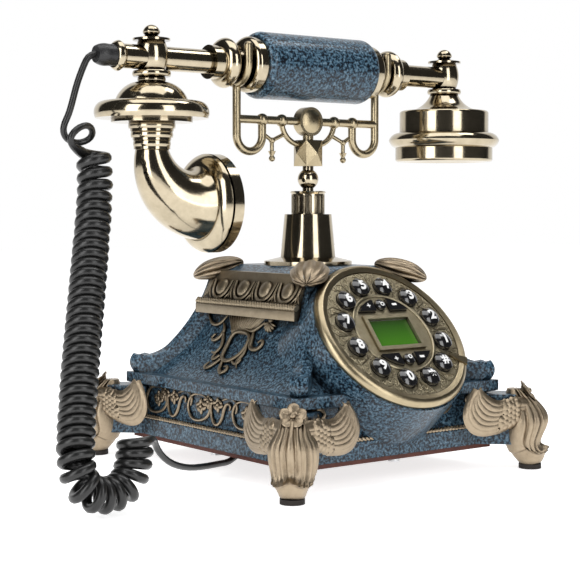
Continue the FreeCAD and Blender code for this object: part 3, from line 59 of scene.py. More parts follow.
LIGHT_FROM = 0.62
bpy.ops.object.select_all(action="DESELECT")
bpy.ops.object.camera_add(location=CAMERA_PLACE)
camera = bpy.context.object
camera.rotation_euler = (math.radians(90 - CAMERA_DROP), 0, math.radians(CAMERA_TURN))
camera.data.sensor_width = 36.0
camera.data.sensor_fit = "HORIZONTAL"
camera.data.lens = CAMERA_LENS
camera.data.clip_start = 0.05
bpy.context.scene.camera = camera
bpy.context.scene.view_settings.view_transform = "Standard"


def softbox(name, turn, height, away, size, watts):
    """An area lamp that stands at a turn from the camera's side and looks at the telephone's middle."""
    side = math.radians(CAMERA_TURN + turn)
    place = LAMP_AIM + Vector((math.sin(side), -math.cos(side), 0)) * away + Vector((0, 0, height))
    bpy.ops.object.light_add(type="AREA", location=place)
    lamp = bpy.context.object
    lamp.name = name
    lamp.rotation_euler = (LAMP_AIM - place).to_track_quat("-Z", "Y").to_euler()
    lamp.data.shape = "RECTANGLE"
    lamp.data.size, lamp.data.size_y = size
    lamp.data.energy = watts
    lamp.visible_camera = False


softbox("left_softbox", -36, 0.30, 0.95, (0.42, 0.95), 4.8)
softbox("right_softbox", 34, 0.22, 0.95, (0.36, 0.95), 3.4)
softbox("far_right_softbox", 112, 1.02, 0.55, (0.36, 0.30), 1.6)
softbox("overhead_softbox", 0, 1.10, 0.12, (1.1, 0.8), 6.0)

world = bpy.context.scene.world or bpy.data.worlds.new("room")
bpy.context.scene.world = world
world.use_nodes = True
room = world.node_tree
room.nodes.clear()
out = room.nodes.new("ShaderNodeOutputWorld")
sky = room.nodes.new("ShaderNodeBackground")
where = room.nodes.new("ShaderNodeTexCoord")
facing = room.nodes.new("ShaderNodeVectorMath")
facing.operation = "DOT_PRODUCT"
facing.inputs[1].default_value = LOOKING
backdrop = room.nodes.new("ShaderNodeValToRGB")
backdrop.color_ramp.elements[0].position = DARK_UP_TO
backdrop.color_ramp.elements[0].color = ROOM_DARK
backdrop.color_ramp.elements[1].position = LIGHT_FROM
backdrop.color_ramp.elements[1].color = ROOM_LIGHT
path = room.nodes.new("ShaderNodeLightPath")
fill = room.nodes.new("ShaderNodeMix")
fill.data_type = "RGBA"
fill.inputs["A"].default_value = ROOM_FILL
seen = room.nodes.new("ShaderNodeMix")
seen.data_type = "RGBA"
seen.inputs["B"].default_value = (1, 1, 1, 1)
room.links.new(where.outputs["Generated"], facing.inputs[0])
room.links.new(facing.outputs["Value"], backdrop.inputs["Fac"])
room.links.new(path.outputs["Is Glossy Ray"], fill.inputs["Factor"])
room.links.new(backdrop.outputs["Color"], fill.inputs["B"])
room.links.new(path.outputs["Is Camera Ray"], seen.inputs["Factor"])
room.links.new(fill.outputs["Result"], seen.inputs["A"])
room.links.new(seen.outputs["Result"], sky.inputs["Color"])
room.links.new(sky.outputs["Background"], out.inputs["Surface"])

# Table top: a matt white sheet, bright enough to vanish into the background, that keeps the shadow.
TABLE_WIDTH = 7.0
TABLE_BELOW = 0.0002
TABLE_COLOUR = (0.82, 0.82, 0.82, 1)
TABLE_GLOW = 0.74
bpy.ops.mesh.primitive_plane_add(size=TABLE_WIDTH, location=(0, 0, -TABLE_BELOW))
table = bpy.context.object
table.name = "table_top"
sheet = bpy.data.materials.new("white_table")
sheet.use_nodes = True
matt = sheet.node_tree.nodes["Principled BSDF"]
matt.inputs["Base Color"].default_value = TABLE_COLOUR
matt.inputs["Roughness"].default_value = 0.9
matt.inputs["Specular IOR Level"].default_value = 0.0
matt.inputs["Emission Color"].default_value = (1, 1, 1, 1)
eye = sheet.node_tree.nodes.new("ShaderNodeLightPath")
looked_at = sheet.node_tree.nodes.new("ShaderNodeMath")
looked_at.operation = "MAXIMUM"
mirrored = sheet.node_tree.nodes.new("ShaderNodeMath")
mirrored.operation = "MAXIMUM"
glow = sheet.node_tree.nodes.new("ShaderNodeMath")
glow.operation = "MULTIPLY"
glow.inputs[1].default_value = TABLE_GLOW
sheet.node_tree.links.new(eye.outputs["Is Glossy Ray"], mirrored.inputs[0])
sheet.node_tree.links.new(eye.outputs["Is Transmission Ray"], mirrored.inputs[1])
sheet.node_tree.links.new(eye.outputs["Is Camera Ray"], looked_at.inputs[0])
sheet.node_tree.links.new(mirrored.outputs["Value"], looked_at.inputs[1])
sheet.node_tree.links.new(looked_at.outputs["Value"], glow.inputs[0])
sheet.node_tree.links.new(glow.outputs["Value"], matt.inputs["Emission Strength"])
table.data.materials.append(sheet)


# Curly cord: black plastic flex that leaves the handset's boot, makes one open loop, hangs in close
# curls to the table, turns up again and runs in under the base to its gland. Wound and heat set.
def alone(piece):
    """Select one piece only and make it the active one."""
    bpy.ops.object.select_all(action="DESELECT")
    piece.select_set(True)
    bpy.context.view_layer.objects.active = piece


def drawn_line(name, points, widths=None, closed=False):
    """A smooth line through the control points, given in millimetres."""
    bpy.ops.object.select_all(action="DESELECT")
    bpy.ops.curve.primitive_nurbs_path_add(radius=0.001)
    piece = bpy.context.object
    piece.name = name
    piece.location = (0, 0, 0)
    line = piece.data
    line.dimensions = "3D"
    line.splines.clear()
    run = line.splines.new("NURBS")
    run.points.add(len(points) - 1)
    for number, spot in enumerate(run.points):
        spot.co = (*(0.001 * value for value in points[number]), 1)
        spot.radius = widths[number] if widths else 1.0
    run.order_u = 3
    run.use_cyclic_u = closed
    run.use_endpoint_u = not closed
    line.use_path = False
    line.use_fill_caps = True
    return piece


def line_points(piece):
    """The places along a drawn line, in millimetres."""
    mesh = bpy.data.meshes.new_from_object(piece)
    places = [vertex.co * 1000 for vertex in mesh.vertices]
    bpy.data.meshes.remove(mesh)
    return places


BOOT_TIP = (-131.9, 0, 213.5)
GLAND = (-46, 0, 9)
WIRE = 4.6
LEAD_SHARE = 0.72
CURL_OUTSIDE = 9.0
CURL_CLOSEST = 4.7
CURL_HANGING = 4.9
CURL_STRETCH = 2.3
STRETCH_RUN = 30.0
CURL_STEPS = 14
CURL_SPACING = 2.2
CURL_FATTEST = 1.2
CURL_SHARE = 0.98
TIGHTEST_SHARE = 0.4
FLEX_COLOUR = (0.012, 0.012, 0.012, 1)
upper_lead = [BOOT_TIP, (-135.6, 0, 213.0), (-139.0, 0, 206.6), (-142.5, 0, 198.2), (-144.9, 0.2, 189.5),
              (-146.7, 0.5, 183.6), (-149.1, 1, 178.7), (-149.0, 2, 174.8), (-145.8, 3.5, 171.3),
              (-138.8, 5, 169.8), (-133.0, 3.2, 172.3), (-133.5, 0, 176.3), (-138.3, -3.2, 178.9),
              (-145.0, -5.2, 177.0), (-149.6, -5.6, 172.4), (-147.6, -3.8, 168.4)]
curl_axis = [(-136.0, -4.5, 166), (-136.0, -5.2, 158), (-136.3, -6.4, 150), (-138.8, -9.5, 138),
             (-152.5, -27, 104), (-167, -45, 69), (-178, -59.5, 38), (-181.2, -64.8, 25.5),
             (-177.8, -65.6, 13.6), (-165, -63.4, 8.9), (-152.4, -61, 12.2), (-147, -58.8, 23),
             (-146.2, -58, 32.5)]
lower_lead = [(-128.5, -45.5, 30.3), (-122.6, -39.8, 22.4), (-111.8, -34, 14.6), (-97.1, -26.4, 9.8),
              (-81.8, -18.5, 7.7), (-66, -10.4, 6.6), (-55, -4.7, 5.6), GLAND]
guide = drawn_line("curl_guide", curl_axis)
guide.data.resolution_u = 40
middle = line_points(guide)
bpy.data.objects.remove(guide)
curls = []
curl_widths = []
turned = 0.0
hung = 0.0
across = Vector((-0.79, 0.61, 0))
for number in range(len(middle) - 1):
    ahead = middle[number + 1] - middle[number]
    heading = ahead.normalized()
    before = (middle[number] - middle[max(number - 1, 0)]).normalized() if number else heading
    bend = heading.angle(before, 0) / max(ahead.length, 1e-6)
    stretched = CURL_HANGING + CURL_STRETCH * math.exp(-hung / STRETCH_RUN)
    pitch = max(stretched, CURL_CLOSEST / max(1 - CURL_OUTSIDE * bend / 2, TIGHTEST_SHARE))
    width = min(CURL_FATTEST, CURL_SHARE * stretched / WIRE)
    radius = CURL_OUTSIDE - width * WIRE / 2
    across = (across - heading * across.dot(heading)).normalized()
    beside = heading.cross(across)
    pieces = max(1, math.ceil(CURL_STEPS * ahead.length / pitch))
    for share in range(pieces):
        turn = turned + 2 * math.pi * ahead.length * share / pieces / pitch
        centre = middle[number] + ahead * (share / pieces)
        spot = centre + radius * (across * math.cos(turn) + beside * math.sin(turn))
        if not curls or (spot - curls[-1]).length > CURL_SPACING:
            curls.append(spot)
            curl_widths.append(width)
    turned += 2 * math.pi * ahead.length / pitch
    hung += ahead.length
cord_widths = [LEAD_SHARE] * len(upper_lead) + curl_widths + [LEAD_SHARE] * len(lower_lead)
cord = drawn_line("handset_cord", [*upper_lead, *curls, *lower_lead], cord_widths)
cord.data.resolution_u = 3
cord_path = [place * 0.001 for place in line_points(cord)]
cord.data.bevel_depth = WIRE / 2000
cord.data.bevel_resolution = 3
alone(cord)
bpy.ops.object.convert(target="MESH")
bpy.ops.object.shade_smooth()
flex = bpy.data.materials.new("black_flex")
flex.use_nodes = True
flex_shader = flex.node_tree.nodes["Principled BSDF"]
flex_shader.inputs["Base Color"].default_value = FLEX_COLOUR
flex_shader.inputs["Roughness"].default_value = 0.30
cord.data.materials.append(flex)
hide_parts("cord_upper_lead", "curly_cord", "cord_lower_lead")
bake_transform(cord)


# Resin parts: the base and the handset's grip are cast in one speckled blue resin, clear coated.
# The sprayed specks are about a millimetre wide, navy and pale blue on steel blue, with painted shade
# that darkens them in the hollows.
def new_finish(name, colour, metallic, roughness):
    """A material and its shader, with the plain values on the shader's own sockets."""
    made = bpy.data.materials.new(name)
    made.use_nodes = True
    shader = made.node_tree.nodes["Principled BSDF"]
    shader.inputs["Base Color"].default_value = (*colour, 1)
    shader.inputs["Metallic"].default_value = metallic
    shader.inputs["Roughness"].default_value = roughness
    return made, shader


def cloudy(made, scale, stops, detail=5.0, rough=0.65):
    """Noise on the piece's own coordinates, coloured by stops of place and colour."""
    tree = made.node_tree
    spots = tree.nodes.new("ShaderNodeTexCoord")
    noise = tree.nodes.new("ShaderNodeTexNoise")
    noise.inputs["Scale"].default_value = scale
    noise.inputs["Detail"].default_value = detail
    noise.inputs["Roughness"].default_value = rough
    ramp = tree.nodes.new("ShaderNodeValToRGB")
    while len(ramp.color_ramp.elements) < len(stops):
        ramp.color_ramp.elements.new(0.5)
    for element, (place, colour) in zip(ramp.color_ramp.elements, stops):
        element.position = place
        element.color = (*colour, 1)
    tree.links.new(spots.outputs["Object"], noise.inputs["Vector"])
    tree.links.new(noise.outputs["Fac"], ramp.inputs["Fac"])
    return ramp.outputs["Color"]


def grained(made, shader, scale, depth, strength=0.3):
    """A fine bump on the piece's own coordinates, depth in metres."""
    tree = made.node_tree
    height = cloudy(made, scale, [(0.35, (0, 0, 0)), (0.65, (1, 1, 1))])
    bump = tree.nodes.new("ShaderNodeBump")
    bump.inputs["Strength"].default_value = strength
    bump.inputs["Distance"].default_value = depth
    tree.links.new(height, bump.inputs["Height"])
    tree.links.new(bump.outputs["Normal"], shader.inputs["Normal"])


def painted_recess_shade(made, reach, dark, open_colour, dark_up_to, open_from):
    """Painted shade: a colour that runs from dark in the recesses, found by ambient occlusion, to the
    open faces' colour; reach is in metres.
    """
    tree = made.node_tree
    open_sky = tree.nodes.new("ShaderNodeAmbientOcclusion")
    open_sky.samples = 6
    open_sky.inputs["Distance"].default_value = reach
    shade = tree.nodes.new("ShaderNodeValToRGB")
    shade.color_ramp.elements[0].position = dark_up_to
    shade.color_ramp.elements[0].color = (*dark, 1)
    shade.color_ramp.elements[1].position = open_from
    shade.color_ramp.elements[1].color = (*open_colour, 1)
    tree.links.new(open_sky.outputs["AO"], shade.inputs["Fac"])
    return shade.outputs["Color"]


def coloured_by_both(made, shader, first, second):
    """Multiply two colours into the shader's own colour."""
    tree = made.node_tree
    both = tree.nodes.new("ShaderNodeMix")
    both.data_type = "RGBA"
    both.blend_type = "MULTIPLY"
    both.inputs["Factor"].default_value = 1.0
    tree.links.new(first, both.inputs["A"])
    tree.links.new(second, both.inputs["B"])
    tree.links.new(both.outputs["Result"], shader.inputs["Base Color"])


def put_on(made, *names):
    """Give CAD pieces a finish."""
    for name in names:
        nodes[name].material_slots[0].material = made


resin, resin_shader = new_finish("blue_speckled_resin", (0.05, 0.10, 0.15), 0.0, 0.36)
resin_specks = cloudy(resin, 760.0, [(0.445, (0.003, 0.005, 0.010)), (0.485, (0.030, 0.068, 0.108)),
                                     (0.57, (0.062, 0.128, 0.186)), (0.70, (0.180, 0.268, 0.340))],
                      detail=2.5, rough=0.6)
# Painted shade: the resin's colour darkens wherever ambient occlusion finds a hollow.
painted_hollow_shade = painted_recess_shade(resin, 0.009, (0.22, 0.22, 0.22), (1, 1, 1), 0.35, 0.85)
coloured_by_both(resin, resin_shader, resin_specks, painted_hollow_shade)
resin_shader.inputs["Specular IOR Level"].default_value = 0.25
resin_shader.inputs["Coat Weight"].default_value = 0.3
resin_shader.inputs["Coat Roughness"].default_value = 0.14
grained(resin, resin_shader, 420.0, 0.0003, 0.2)
put_on(resin, "base_housing", "handset_grip")

# Bottom and inside: a red-brown pressed board with steel screws, a rubber pad under each foot, the
# cord's gland and the line's socket. Inside are the hook's spring, lever and switch, the ringer, the
# speaking and hearing capsules and two circuit boards, each screwed down or clipped in.
board, board_shader = new_finish("red_brown_board", (0.10, 0.022, 0.012), 0.0, 0.6)
board_fibres = cloudy(board, 260.0, [(0.3, (0.07, 0.016, 0.010)), (0.7, (0.13, 0.032, 0.018))])
board.node_tree.links.new(board_fibres, board_shader.inputs["Base Color"])
put_on(board, "bottom_plate")
steel, steel_shader = new_finish("zinc_steel", (0.55, 0.55, 0.56), 1.0, 0.32)
grained(steel, steel_shader, 900.0, 0.0001)
put_on(steel, "bottom_screws", "hook_spring", "switch_lever", "ringer")
rubber, rubber_shader = new_finish("brown_black_rubber", (0.018, 0.013, 0.011), 0.0, 0.75)
grained(rubber, rubber_shader, 1200.0, 0.0002)
put_on(rubber, "foot_pads")
plastic, plastic_shader = new_finish("black_plastic", (0.015, 0.015, 0.016), 0.0, 0.38)
grained(plastic, plastic_shader, 1500.0, 0.00008)
put_on(plastic, "cord_gland", "line_jack", "cord_boot", "hook_switch", "microphone", "earphone")
laminate, laminate_shader = new_finish("green_laminate", (0.02, 0.10, 0.05), 0.0, 0.45)
tracks = cloudy(laminate, 380.0, [(0.45, (0.015, 0.08, 0.04)), (0.55, (0.03, 0.14, 0.07))], detail=1.0)
laminate.node_tree.links.new(tracks, laminate_shader.inputs["Base Color"])
put_on(laminate, "main_board", "key_board")


# Metal: brass-plated turnings and castings with a brown lacquer and painted shade darkening the recesses,
# screwed on from inside. Polished on the handset and the column, satin on the cradle and the dial's
# bezel, and rougher on the feet and the trim.
def patina_and_painted_shade(made, shader, dark, open_colour, reach, scale=160.0):
    """Colour from dark in the recesses to the open faces' colour, a little uneven: brown lacquer there,
    together with painted shade.
    """
    shade = painted_recess_shade(made, reach, dark, open_colour, 0.30, 0.82)
    stain = cloudy(made, scale, [(0.3, (0.80, 0.79, 0.77)), (0.7, (1, 1, 1))])
    coloured_by_both(made, shader, shade, stain)


# Each metal finish darkens in its recesses: brown lacquer together with painted shade.
bright, bright_shader = new_finish("polished_antique_brass", (0.56, 0.48, 0.36), 1.0, 0.13)
patina_and_painted_shade(bright, bright_shader, (0.05, 0.036, 0.022), (0.51, 0.44, 0.32), 0.006)
put_on(bright, "handset_tube", "grip_end_left", "grip_end_right", "post_left", "post_right", "finials",
       "mouthpiece_disc", "horn_elbow", "horn_bell", "receiver_cap", "ear_cap", "column_body",
       "column_collar", "cradle_stem")
satin, satin_shader = new_finish("satin_antique_brass", (0.47, 0.40, 0.27), 1.0, 0.30)
patina_and_painted_shade(satin, satin_shader, (0.045, 0.034, 0.020), (0.45, 0.375, 0.245), 0.004)
grained(satin, satin_shader, 700.0, 0.00012, 0.2)
put_on(satin, "cradle_frame", "cradle_medallion", "dial_bezel")
cast, cast_shader = new_finish("champagne_casting", (0.62, 0.53, 0.40), 1.0, 0.40)
patina_and_painted_shade(cast, cast_shader, (0.018, 0.012, 0.007), (0.41, 0.33, 0.235), 0.006, 240.0)
grained(cast, cast_shader, 480.0, 0.00025, 0.3)
bronze, bronze_shader = new_finish("brown_bronze_casting", (0.36, 0.285, 0.19), 1.0, 0.42)
patina_and_painted_shade(bronze, bronze_shader, (0.014, 0.010, 0.006), (0.35, 0.29, 0.205), 0.0045, 240.0)
grained(bronze, bronze_shader, 480.0, 0.00025, 0.3)


# Cornices: a cast moulding along each side of the roof, with a plain fascia, a row of eggs and darts,
# a twisted rope and a plain band. Bronze-coloured castings glued over the resin.
def strand(points, widths, closed=False, sides=2, steps=4):
    """A drawn line made a solid strand; widths are its radii in millimetres."""
    piece = drawn_line("strand", points, widths, closed)
    piece.data.bevel_depth = 0.001
    piece.data.bevel_resolution = sides
    piece.data.resolution_u = steps
    alone(piece)
    bpy.ops.object.convert(target="MESH")
    return piece


def shaped(columns, rows, place):
    """A grid whose points are laid out by place(s, t), in millimetres, with s and t from 0 to 1."""
    bpy.ops.object.select_all(action="DESELECT")
    bpy.ops.mesh.primitive_grid_add(x_subdivisions=columns, y_subdivisions=rows, size=1)
    piece = bpy.context.object
    for vertex in piece.data.vertices:
        vertex.co = Vector(place(vertex.co.x + 0.5, vertex.co.y + 0.5)) * 0.001
    return piece


def welded(piece):
    """Close a sheet's seams and turn its faces outwards."""
    alone(piece)
    bpy.ops.object.mode_set(mode="EDIT")
    bpy.ops.mesh.select_all(action="SELECT")
    bpy.ops.mesh.remove_doubles(threshold=0.00001)
    bpy.ops.mesh.normals_make_consistent(inside=False)
    bpy.ops.object.mode_set(mode="OBJECT")
    return piece


def capped(piece):
    """Close a sheet's open ends with flat faces."""
    welded(piece)
    bpy.ops.object.mode_set(mode="EDIT")
    bpy.ops.mesh.select_all(action="DESELECT")
    bpy.ops.mesh.select_non_manifold()
    bpy.ops.mesh.edge_face_add()
    bpy.ops.object.mode_set(mode="OBJECT")
    return welded(piece)


def bead(radii, place, segments=16, rings=10):
    """A rounded bead with three radii in millimetres, laid by a matrix in millimetres."""
    bpy.ops.object.select_all(action="DESELECT")
    bpy.ops.mesh.primitive_uv_sphere_add(segments=segments, ring_count=rings, radius=1)
    piece = bpy.context.object
    for vertex in piece.data.vertices:
        co = Vector((vertex.co.x * radii[0], vertex.co.y * radii[1], vertex.co.z * radii[2]))
        vertex.co = (place @ co) * 0.001
    return piece


def joined(name, pieces):
    bpy.ops.object.select_all(action="DESELECT")
    for piece in pieces:
        piece.select_set(True)
    bpy.context.view_layer.objects.active = pieces[0]
    bpy.ops.object.join()
    pieces[0].name = name
    return pieces[0]


def copied(piece, name, move):
    """A copy with its own mesh, moved by a matrix in millimetres."""
    bpy.ops.object.select_all(action="DESELECT")
    again = piece.copy()
    again.data = piece.data.copy()
    again.name = name
    bpy.context.collection.objects.link(again)
    shift = Matrix.Translation(move.translation * 0.001)
    again.data.transform(shift @ move.to_3x3().to_4x4())
    if move.determinant() < 0:
        again.data.flip_normals()
    return again


def dressed(piece, made, body="base", angle=40):
    """Smooth a finished piece, give it its finish and let it ride on its body."""
    alone(piece)
    bpy.ops.object.shade_smooth_by_angle(angle=math.radians(angle))
    piece.data.materials.clear()
    piece.data.materials.append(made)
    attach(piece, body)
    return piece


def rope(start, end, radius, turns, lobes=2):
    """A twisted rope between two points."""
    start, end = Vector(start), Vector(end)
    along = (end - start).normalized()
    side = along.orthogonal().normalized()
    rise = along.cross(side)

    def place(s, t):
        angle = 2 * math.pi * s
        lobe = abs(math.cos(lobes / 2 * (angle - 2 * math.pi * turns * t)))
        reach = radius * (0.60 + 0.40 * lobe)
        return start.lerp(end, t) + reach * (side * math.cos(angle) + rise * math.sin(angle))

    return capped(shaped(24, int(turns * 14), place))


MIRROR = Matrix.Scale(-1, 4, (1, 0, 0))
CORNICE_TOP = (35.35, 99.4)
CORNICE_FOOT = (40.9, 89.1)
SLOPE = 11.7
OUTWARD = (0.88, 0.474)
CORNICE_HALF = 42.5
LOWER_BAND = 43.5
BAND_LONGER = 1.05
EDGE_BEVEL = 0.4
CORNICE_ROPE = 1.9
CORNICE_TWISTS = 20
ROPE_DOWN = 13.6
EGG = (4.7, 5.0, 2.3)
EGG_DOWN = 4.4
EGG_PITCH = 19.7
EGG_MIDDLE = -2.25


def on_cornice(y, down, out):
    """A place on the left cornice's slope, measured down it and out from it."""
    x = CORNICE_TOP[0] + (CORNICE_FOOT[0] - CORNICE_TOP[0]) * down / SLOPE + OUTWARD[0] * out
    z = CORNICE_TOP[1] + (CORNICE_FOOT[1] - CORNICE_TOP[1]) * down / SLOPE + OUTWARD[1] * out
    return (-x, y, z)


cornice_outline = [(-30, 104.35), (-35.35, 104.35), (-35.35, 99.4), (-40.9, 89.1), (-43.95, 86.1),
                   (-43.95, 81.1), (-36, 81.1), (-30, 92)]
bpy.ops.object.select_all(action="DESELECT")
bpy.ops.mesh.primitive_circle_add(vertices=len(cornice_outline), radius=1, fill_type="NGON")
moulding = bpy.context.object
for vertex, (x, z) in zip(moulding.data.vertices, cornice_outline):
    vertex.co = (0.001 * x, -0.001 * CORNICE_HALF, 0.001 * z)
bpy.ops.object.mode_set(mode="EDIT")
bpy.ops.mesh.select_all(action="SELECT")
bpy.ops.mesh.extrude_region_move(TRANSFORM_OT_translate={"value": (0, 0.002 * CORNICE_HALF, 0)})
bpy.ops.object.mode_set(mode="OBJECT")
for vertex in moulding.data.vertices:
    if vertex.co.x < -0.001 * LOWER_BAND:
        vertex.co.y *= BAND_LONGER
welded(moulding)
softened = moulding.modifiers.new("soft_edges", "BEVEL")
softened.width = 0.001 * EDGE_BEVEL
softened.segments = 2
bpy.ops.object.modifier_apply(modifier=softened.name)
rope_ends = [on_cornice(y, ROPE_DOWN, 0.6) for y in (44.3, -44.6)]
cornice = [moulding, rope(*rope_ends, CORNICE_ROPE, CORNICE_TWISTS)]
slope_frame = Matrix(((0, -OUTWARD[1], -OUTWARD[0]), (1, 0, 0), (0, -OUTWARD[0], OUTWARD[1]))).to_4x4()
cup = [(-7.7, 0.4), (-7.2, 4.6), (-5.2, 9.2), (0, 11.9), (5.2, 9.2), (7.2, 4.6), (7.7, 0.4)]
cup_widths = [0.7, 0.85, 0.95, 1, 0.95, 0.85, 0.7]
for number in range(4):
    y = EGG_MIDDLE + EGG_PITCH * (1.5 - number)
    egg_place = Matrix.Translation(on_cornice(y, EGG_DOWN, 0.1)) @ slope_frame
    cornice.append(bead(EGG, egg_place, 24, 16))
    cornice.append(strand([on_cornice(y + along, down, 0.7) for along, down in cup], cup_widths))
for number in range(5):
    y = EGG_MIDDLE + EGG_PITCH * (2 - number)
    cornice.append(strand([on_cornice(y, 0.6, 0.5), on_cornice(y, 5, 0.8), on_cornice(y, 10.8, 0.8)],
                          [0.5, 0.95, 0.25]))
    for side in (-1, 1):
        cornice.append(strand([on_cornice(y, 5.5, 0.5), on_cornice(y + side * 0.8, 9, 0.8),
                               on_cornice(y + side * 3.4, 11.3, 0.6)], [0.3, 0.8, 0.25]))
cornice_left = joined("cornice_left", cornice)
cornice_right = copied(cornice_left, "cornice_right", MIRROR)
dressed(cornice_left, bronze)
dressed(cornice_right, bronze)


# Drops: an openwork casting that hangs from each cornice down the hollow of the roof, with a reeded
# panel, a shell and leaf scrolls round an oval. Cast like the cornices and glued on.
HOLLOW_RADIUS = 70.0
HOLLOW_HIGH = 103.0
HOLLOW_OUT = 102.5
PANEL_HIGH = 81.6
PANEL_LONG = 10.6
REEDS = 15


def on_roof(y, z, out):
    """A place on the left slope of the roof, out from the resin."""
    hollow = math.sqrt(HOLLOW_RADIUS ** 2 - (z - HOLLOW_HIGH) ** 2)
    lean = (HOLLOW_HIGH - z) / HOLLOW_RADIUS
    return (hollow - HOLLOW_OUT - out * hollow / HOLLOW_RADIUS, y, z + out * lean)


def reeded(s, t):
    """The panel's reeds, narrower towards its foot."""
    top = 24.5 - 36.0 * s
    foot = 15.4 - 15.6 * s
    wave = 0.9 + 0.55 * abs(math.cos(math.pi * REEDS * s))
    edge = min(1, 12 * min(s, 1 - s, t + 0.1, 1.0 - t + 0.02))
    return on_roof(top + (foot - top) * t, PANEL_HIGH - PANEL_LONG * t, wave * edge + 0.1)


def scroll(points, widths, out=0.9, closed=False):
    return strand([on_roof(y, z, out) for y, z in points], widths, closed, 3, 5)


drop = [shaped(90, 10, reeded)]
drop += [
    scroll([(41.5, 81.2), (38.5, 77.5), (34.5, 74.6), (29.5, 74.2), (25, 76.6), (23, 80)],
           [0.6, 0.9, 1.1, 1.0, 0.8, 0.5]),
    scroll([(24, 75.4), (21.4, 73.2), (21.2, 70), (24, 66.8), (28.2, 65.8), (30, 68), (27.6, 69.6)],
           [0.6, 1.0, 1.2, 1.2, 1.0, 0.8, 0.6]),
    scroll([(21.5, 71), (18, 66.5), (17.2, 62), (20.5, 59.4), (23.4, 60.4)], [1.0, 1.1, 1.1, 0.9, 0.5]),
    scroll([(12.6, 64), (12.3, 71.2), (4, 72.6), (-4.6, 70.6), (-4.4, 62), (3.2, 56.2), (11.4, 57.6)],
           [1.2] * 7, 1.1, True),
    scroll([(2, 73.6), (-3.5, 72.4), (-8, 75.2), (-12.6, 78.2)], [0.7, 1.2, 1.1, 0.6]),
    scroll([(-5, 73.4), (-6.3, 68.6), (-7.6, 64.6), (-13.4, 63.6), (-17.4, 66.6), (-15.2, 70),
            (-12.4, 67.6)], [0.8, 1.3, 1.4, 1.2, 1.0, 0.8, 0.5]),
    scroll([(-4.6, 66), (-5.8, 61.2), (-2.8, 56.8), (-6.6, 54.4)], [0.8, 1.2, 1.1, 0.4]),
    scroll([(14, 59.2), (17, 56.4), (19.8, 57.4), (19, 60)], [1.0, 1.0, 0.8, 0.5]),
    scroll([(11, 58), (14.2, 54.2), (18.4, 51.8), (21.4, 53.2), (19.4, 55.4)], [0.8, 1.1, 1.0, 0.8, 0.5]),
    scroll([(8.6, 57.4), (7.4, 53.4), (3, 50.6), (-0.4, 52.4), (1.2, 55), (4, 54)],
           [0.9, 1.2, 1.2, 1.0, 0.8, 0.5]),
    scroll([(1, 57.2), (-3.4, 55.4), (-6.2, 57.8), (-4.4, 60)], [0.7, 1.0, 0.9, 0.5]),
]
shell_frame = Matrix(((0, -0.36, -0.93), (1, 0, 0), (0, -0.93, 0.36))).to_4x4()
SHELL_RIBS = 7
SHELL_SPREAD = 24
RIB_AWAY = 2.6
for number in range(SHELL_RIBS):
    spread = math.radians(SHELL_SPREAD * (number - (SHELL_RIBS - 1) / 2))
    rib_spot = on_roof(-17.6 + RIB_AWAY * math.sin(spread), 78.2 - RIB_AWAY * math.cos(spread), 1.2)
    rib_place = Matrix.Translation(rib_spot) @ shell_frame @ Matrix.Rotation(-spread, 4, "Z")
    drop.append(bead((0.95, 2.9, 1.5), rib_place, 12, 8))
drop.append(bead((1.7, 1.7, 1.6), Matrix.Translation(on_roof(-17.4, 79.4, 1.2)), 16, 10))
drop_left = joined("roof_drop_left", drop)
drop_right = copied(drop_left, "roof_drop_right", MIRROR)
dressed(drop_left, bronze)
dressed(drop_right, bronze)

# Corner leaves: a ribbed acanthus leaf that lies over each top corner of the roof and droops
# outwards. Cast with the cornices' metal and glued down.
LEAF_OUT = 31.0
LEAF_HIGH = 105.2
LEAF_DROOP = 14
LEAF_HALF = (8.4, 13.9, 4.8)
LEAF_RIBS = 4.5
RIB_RISE = 0.20
DEPTH_EXTRA = 10.0
CORNERS = {"front_left": (-1, -1, -45), "front_right": (1, -1, 45),
           "back_left": (-1, 1, -135), "back_right": (1, 1, 135)}
bpy.ops.object.select_all(action="DESELECT")
bpy.ops.mesh.primitive_uv_sphere_add(segments=108, ring_count=36, radius=1)
leaf = bpy.context.object
for vertex in leaf.data.vertices:
    around = math.atan2(vertex.co.x, vertex.co.y)
    waist = math.sqrt(max(0.0, 1 - vertex.co.z ** 2))
    rib = abs(math.cos(LEAF_RIBS * around))
    swell = 1.10 + RIB_RISE * waist * (rib - 0.35)
    tip = max(0.0, vertex.co.z - 0.3)
    across = LEAF_HALF[0] * vertex.co.x * swell * (1 + 0.16 * tip)
    along = -LEAF_HALF[1] * vertex.co.z * (1 + 0.05 * rib)
    upwards = LEAF_HALF[2] * vertex.co.y * swell - 2.2 * tip ** 2
    vertex.co = Vector((across, along, upwards)) * 0.001
for name, (side_x, side_y, turn) in CORNERS.items():
    leaf_place = (Matrix.Translation((side_x * LEAF_OUT, side_y * (LEAF_OUT + DEPTH_EXTRA), LEAF_HIGH))
                  @ Matrix.Rotation(math.radians(turn), 4, "Z")
                  @ Matrix.Rotation(math.radians(LEAF_DROOP), 4, "X"))
    dressed(copied(leaf, "corner_leaf_" + name, leaf_place), cast, angle=60)
bpy.data.objects.remove(leaf)


# Frieze: a thin cast vine in the hollow of each side wall, ovals and loops with leaf clusters, over a
# twisted rope on the ledge, glued on. The front and back walls have a short flourish beside each foot.
WALL_OUT = 64.5
WALL_LEAN = 1.4 / 16.5
WALL_FOOT = 23.5
VINE_OUT = 0.7
VINE_WIDTH = 1.25
LEDGE_ROPE = 1.5
LEDGE_HIGH = 23.2


def on_side(y, z, out):
    """A place on the left wall's frieze."""
    return (-(WALL_OUT - WALL_LEAN * (z - WALL_FOOT) + out), y, z)


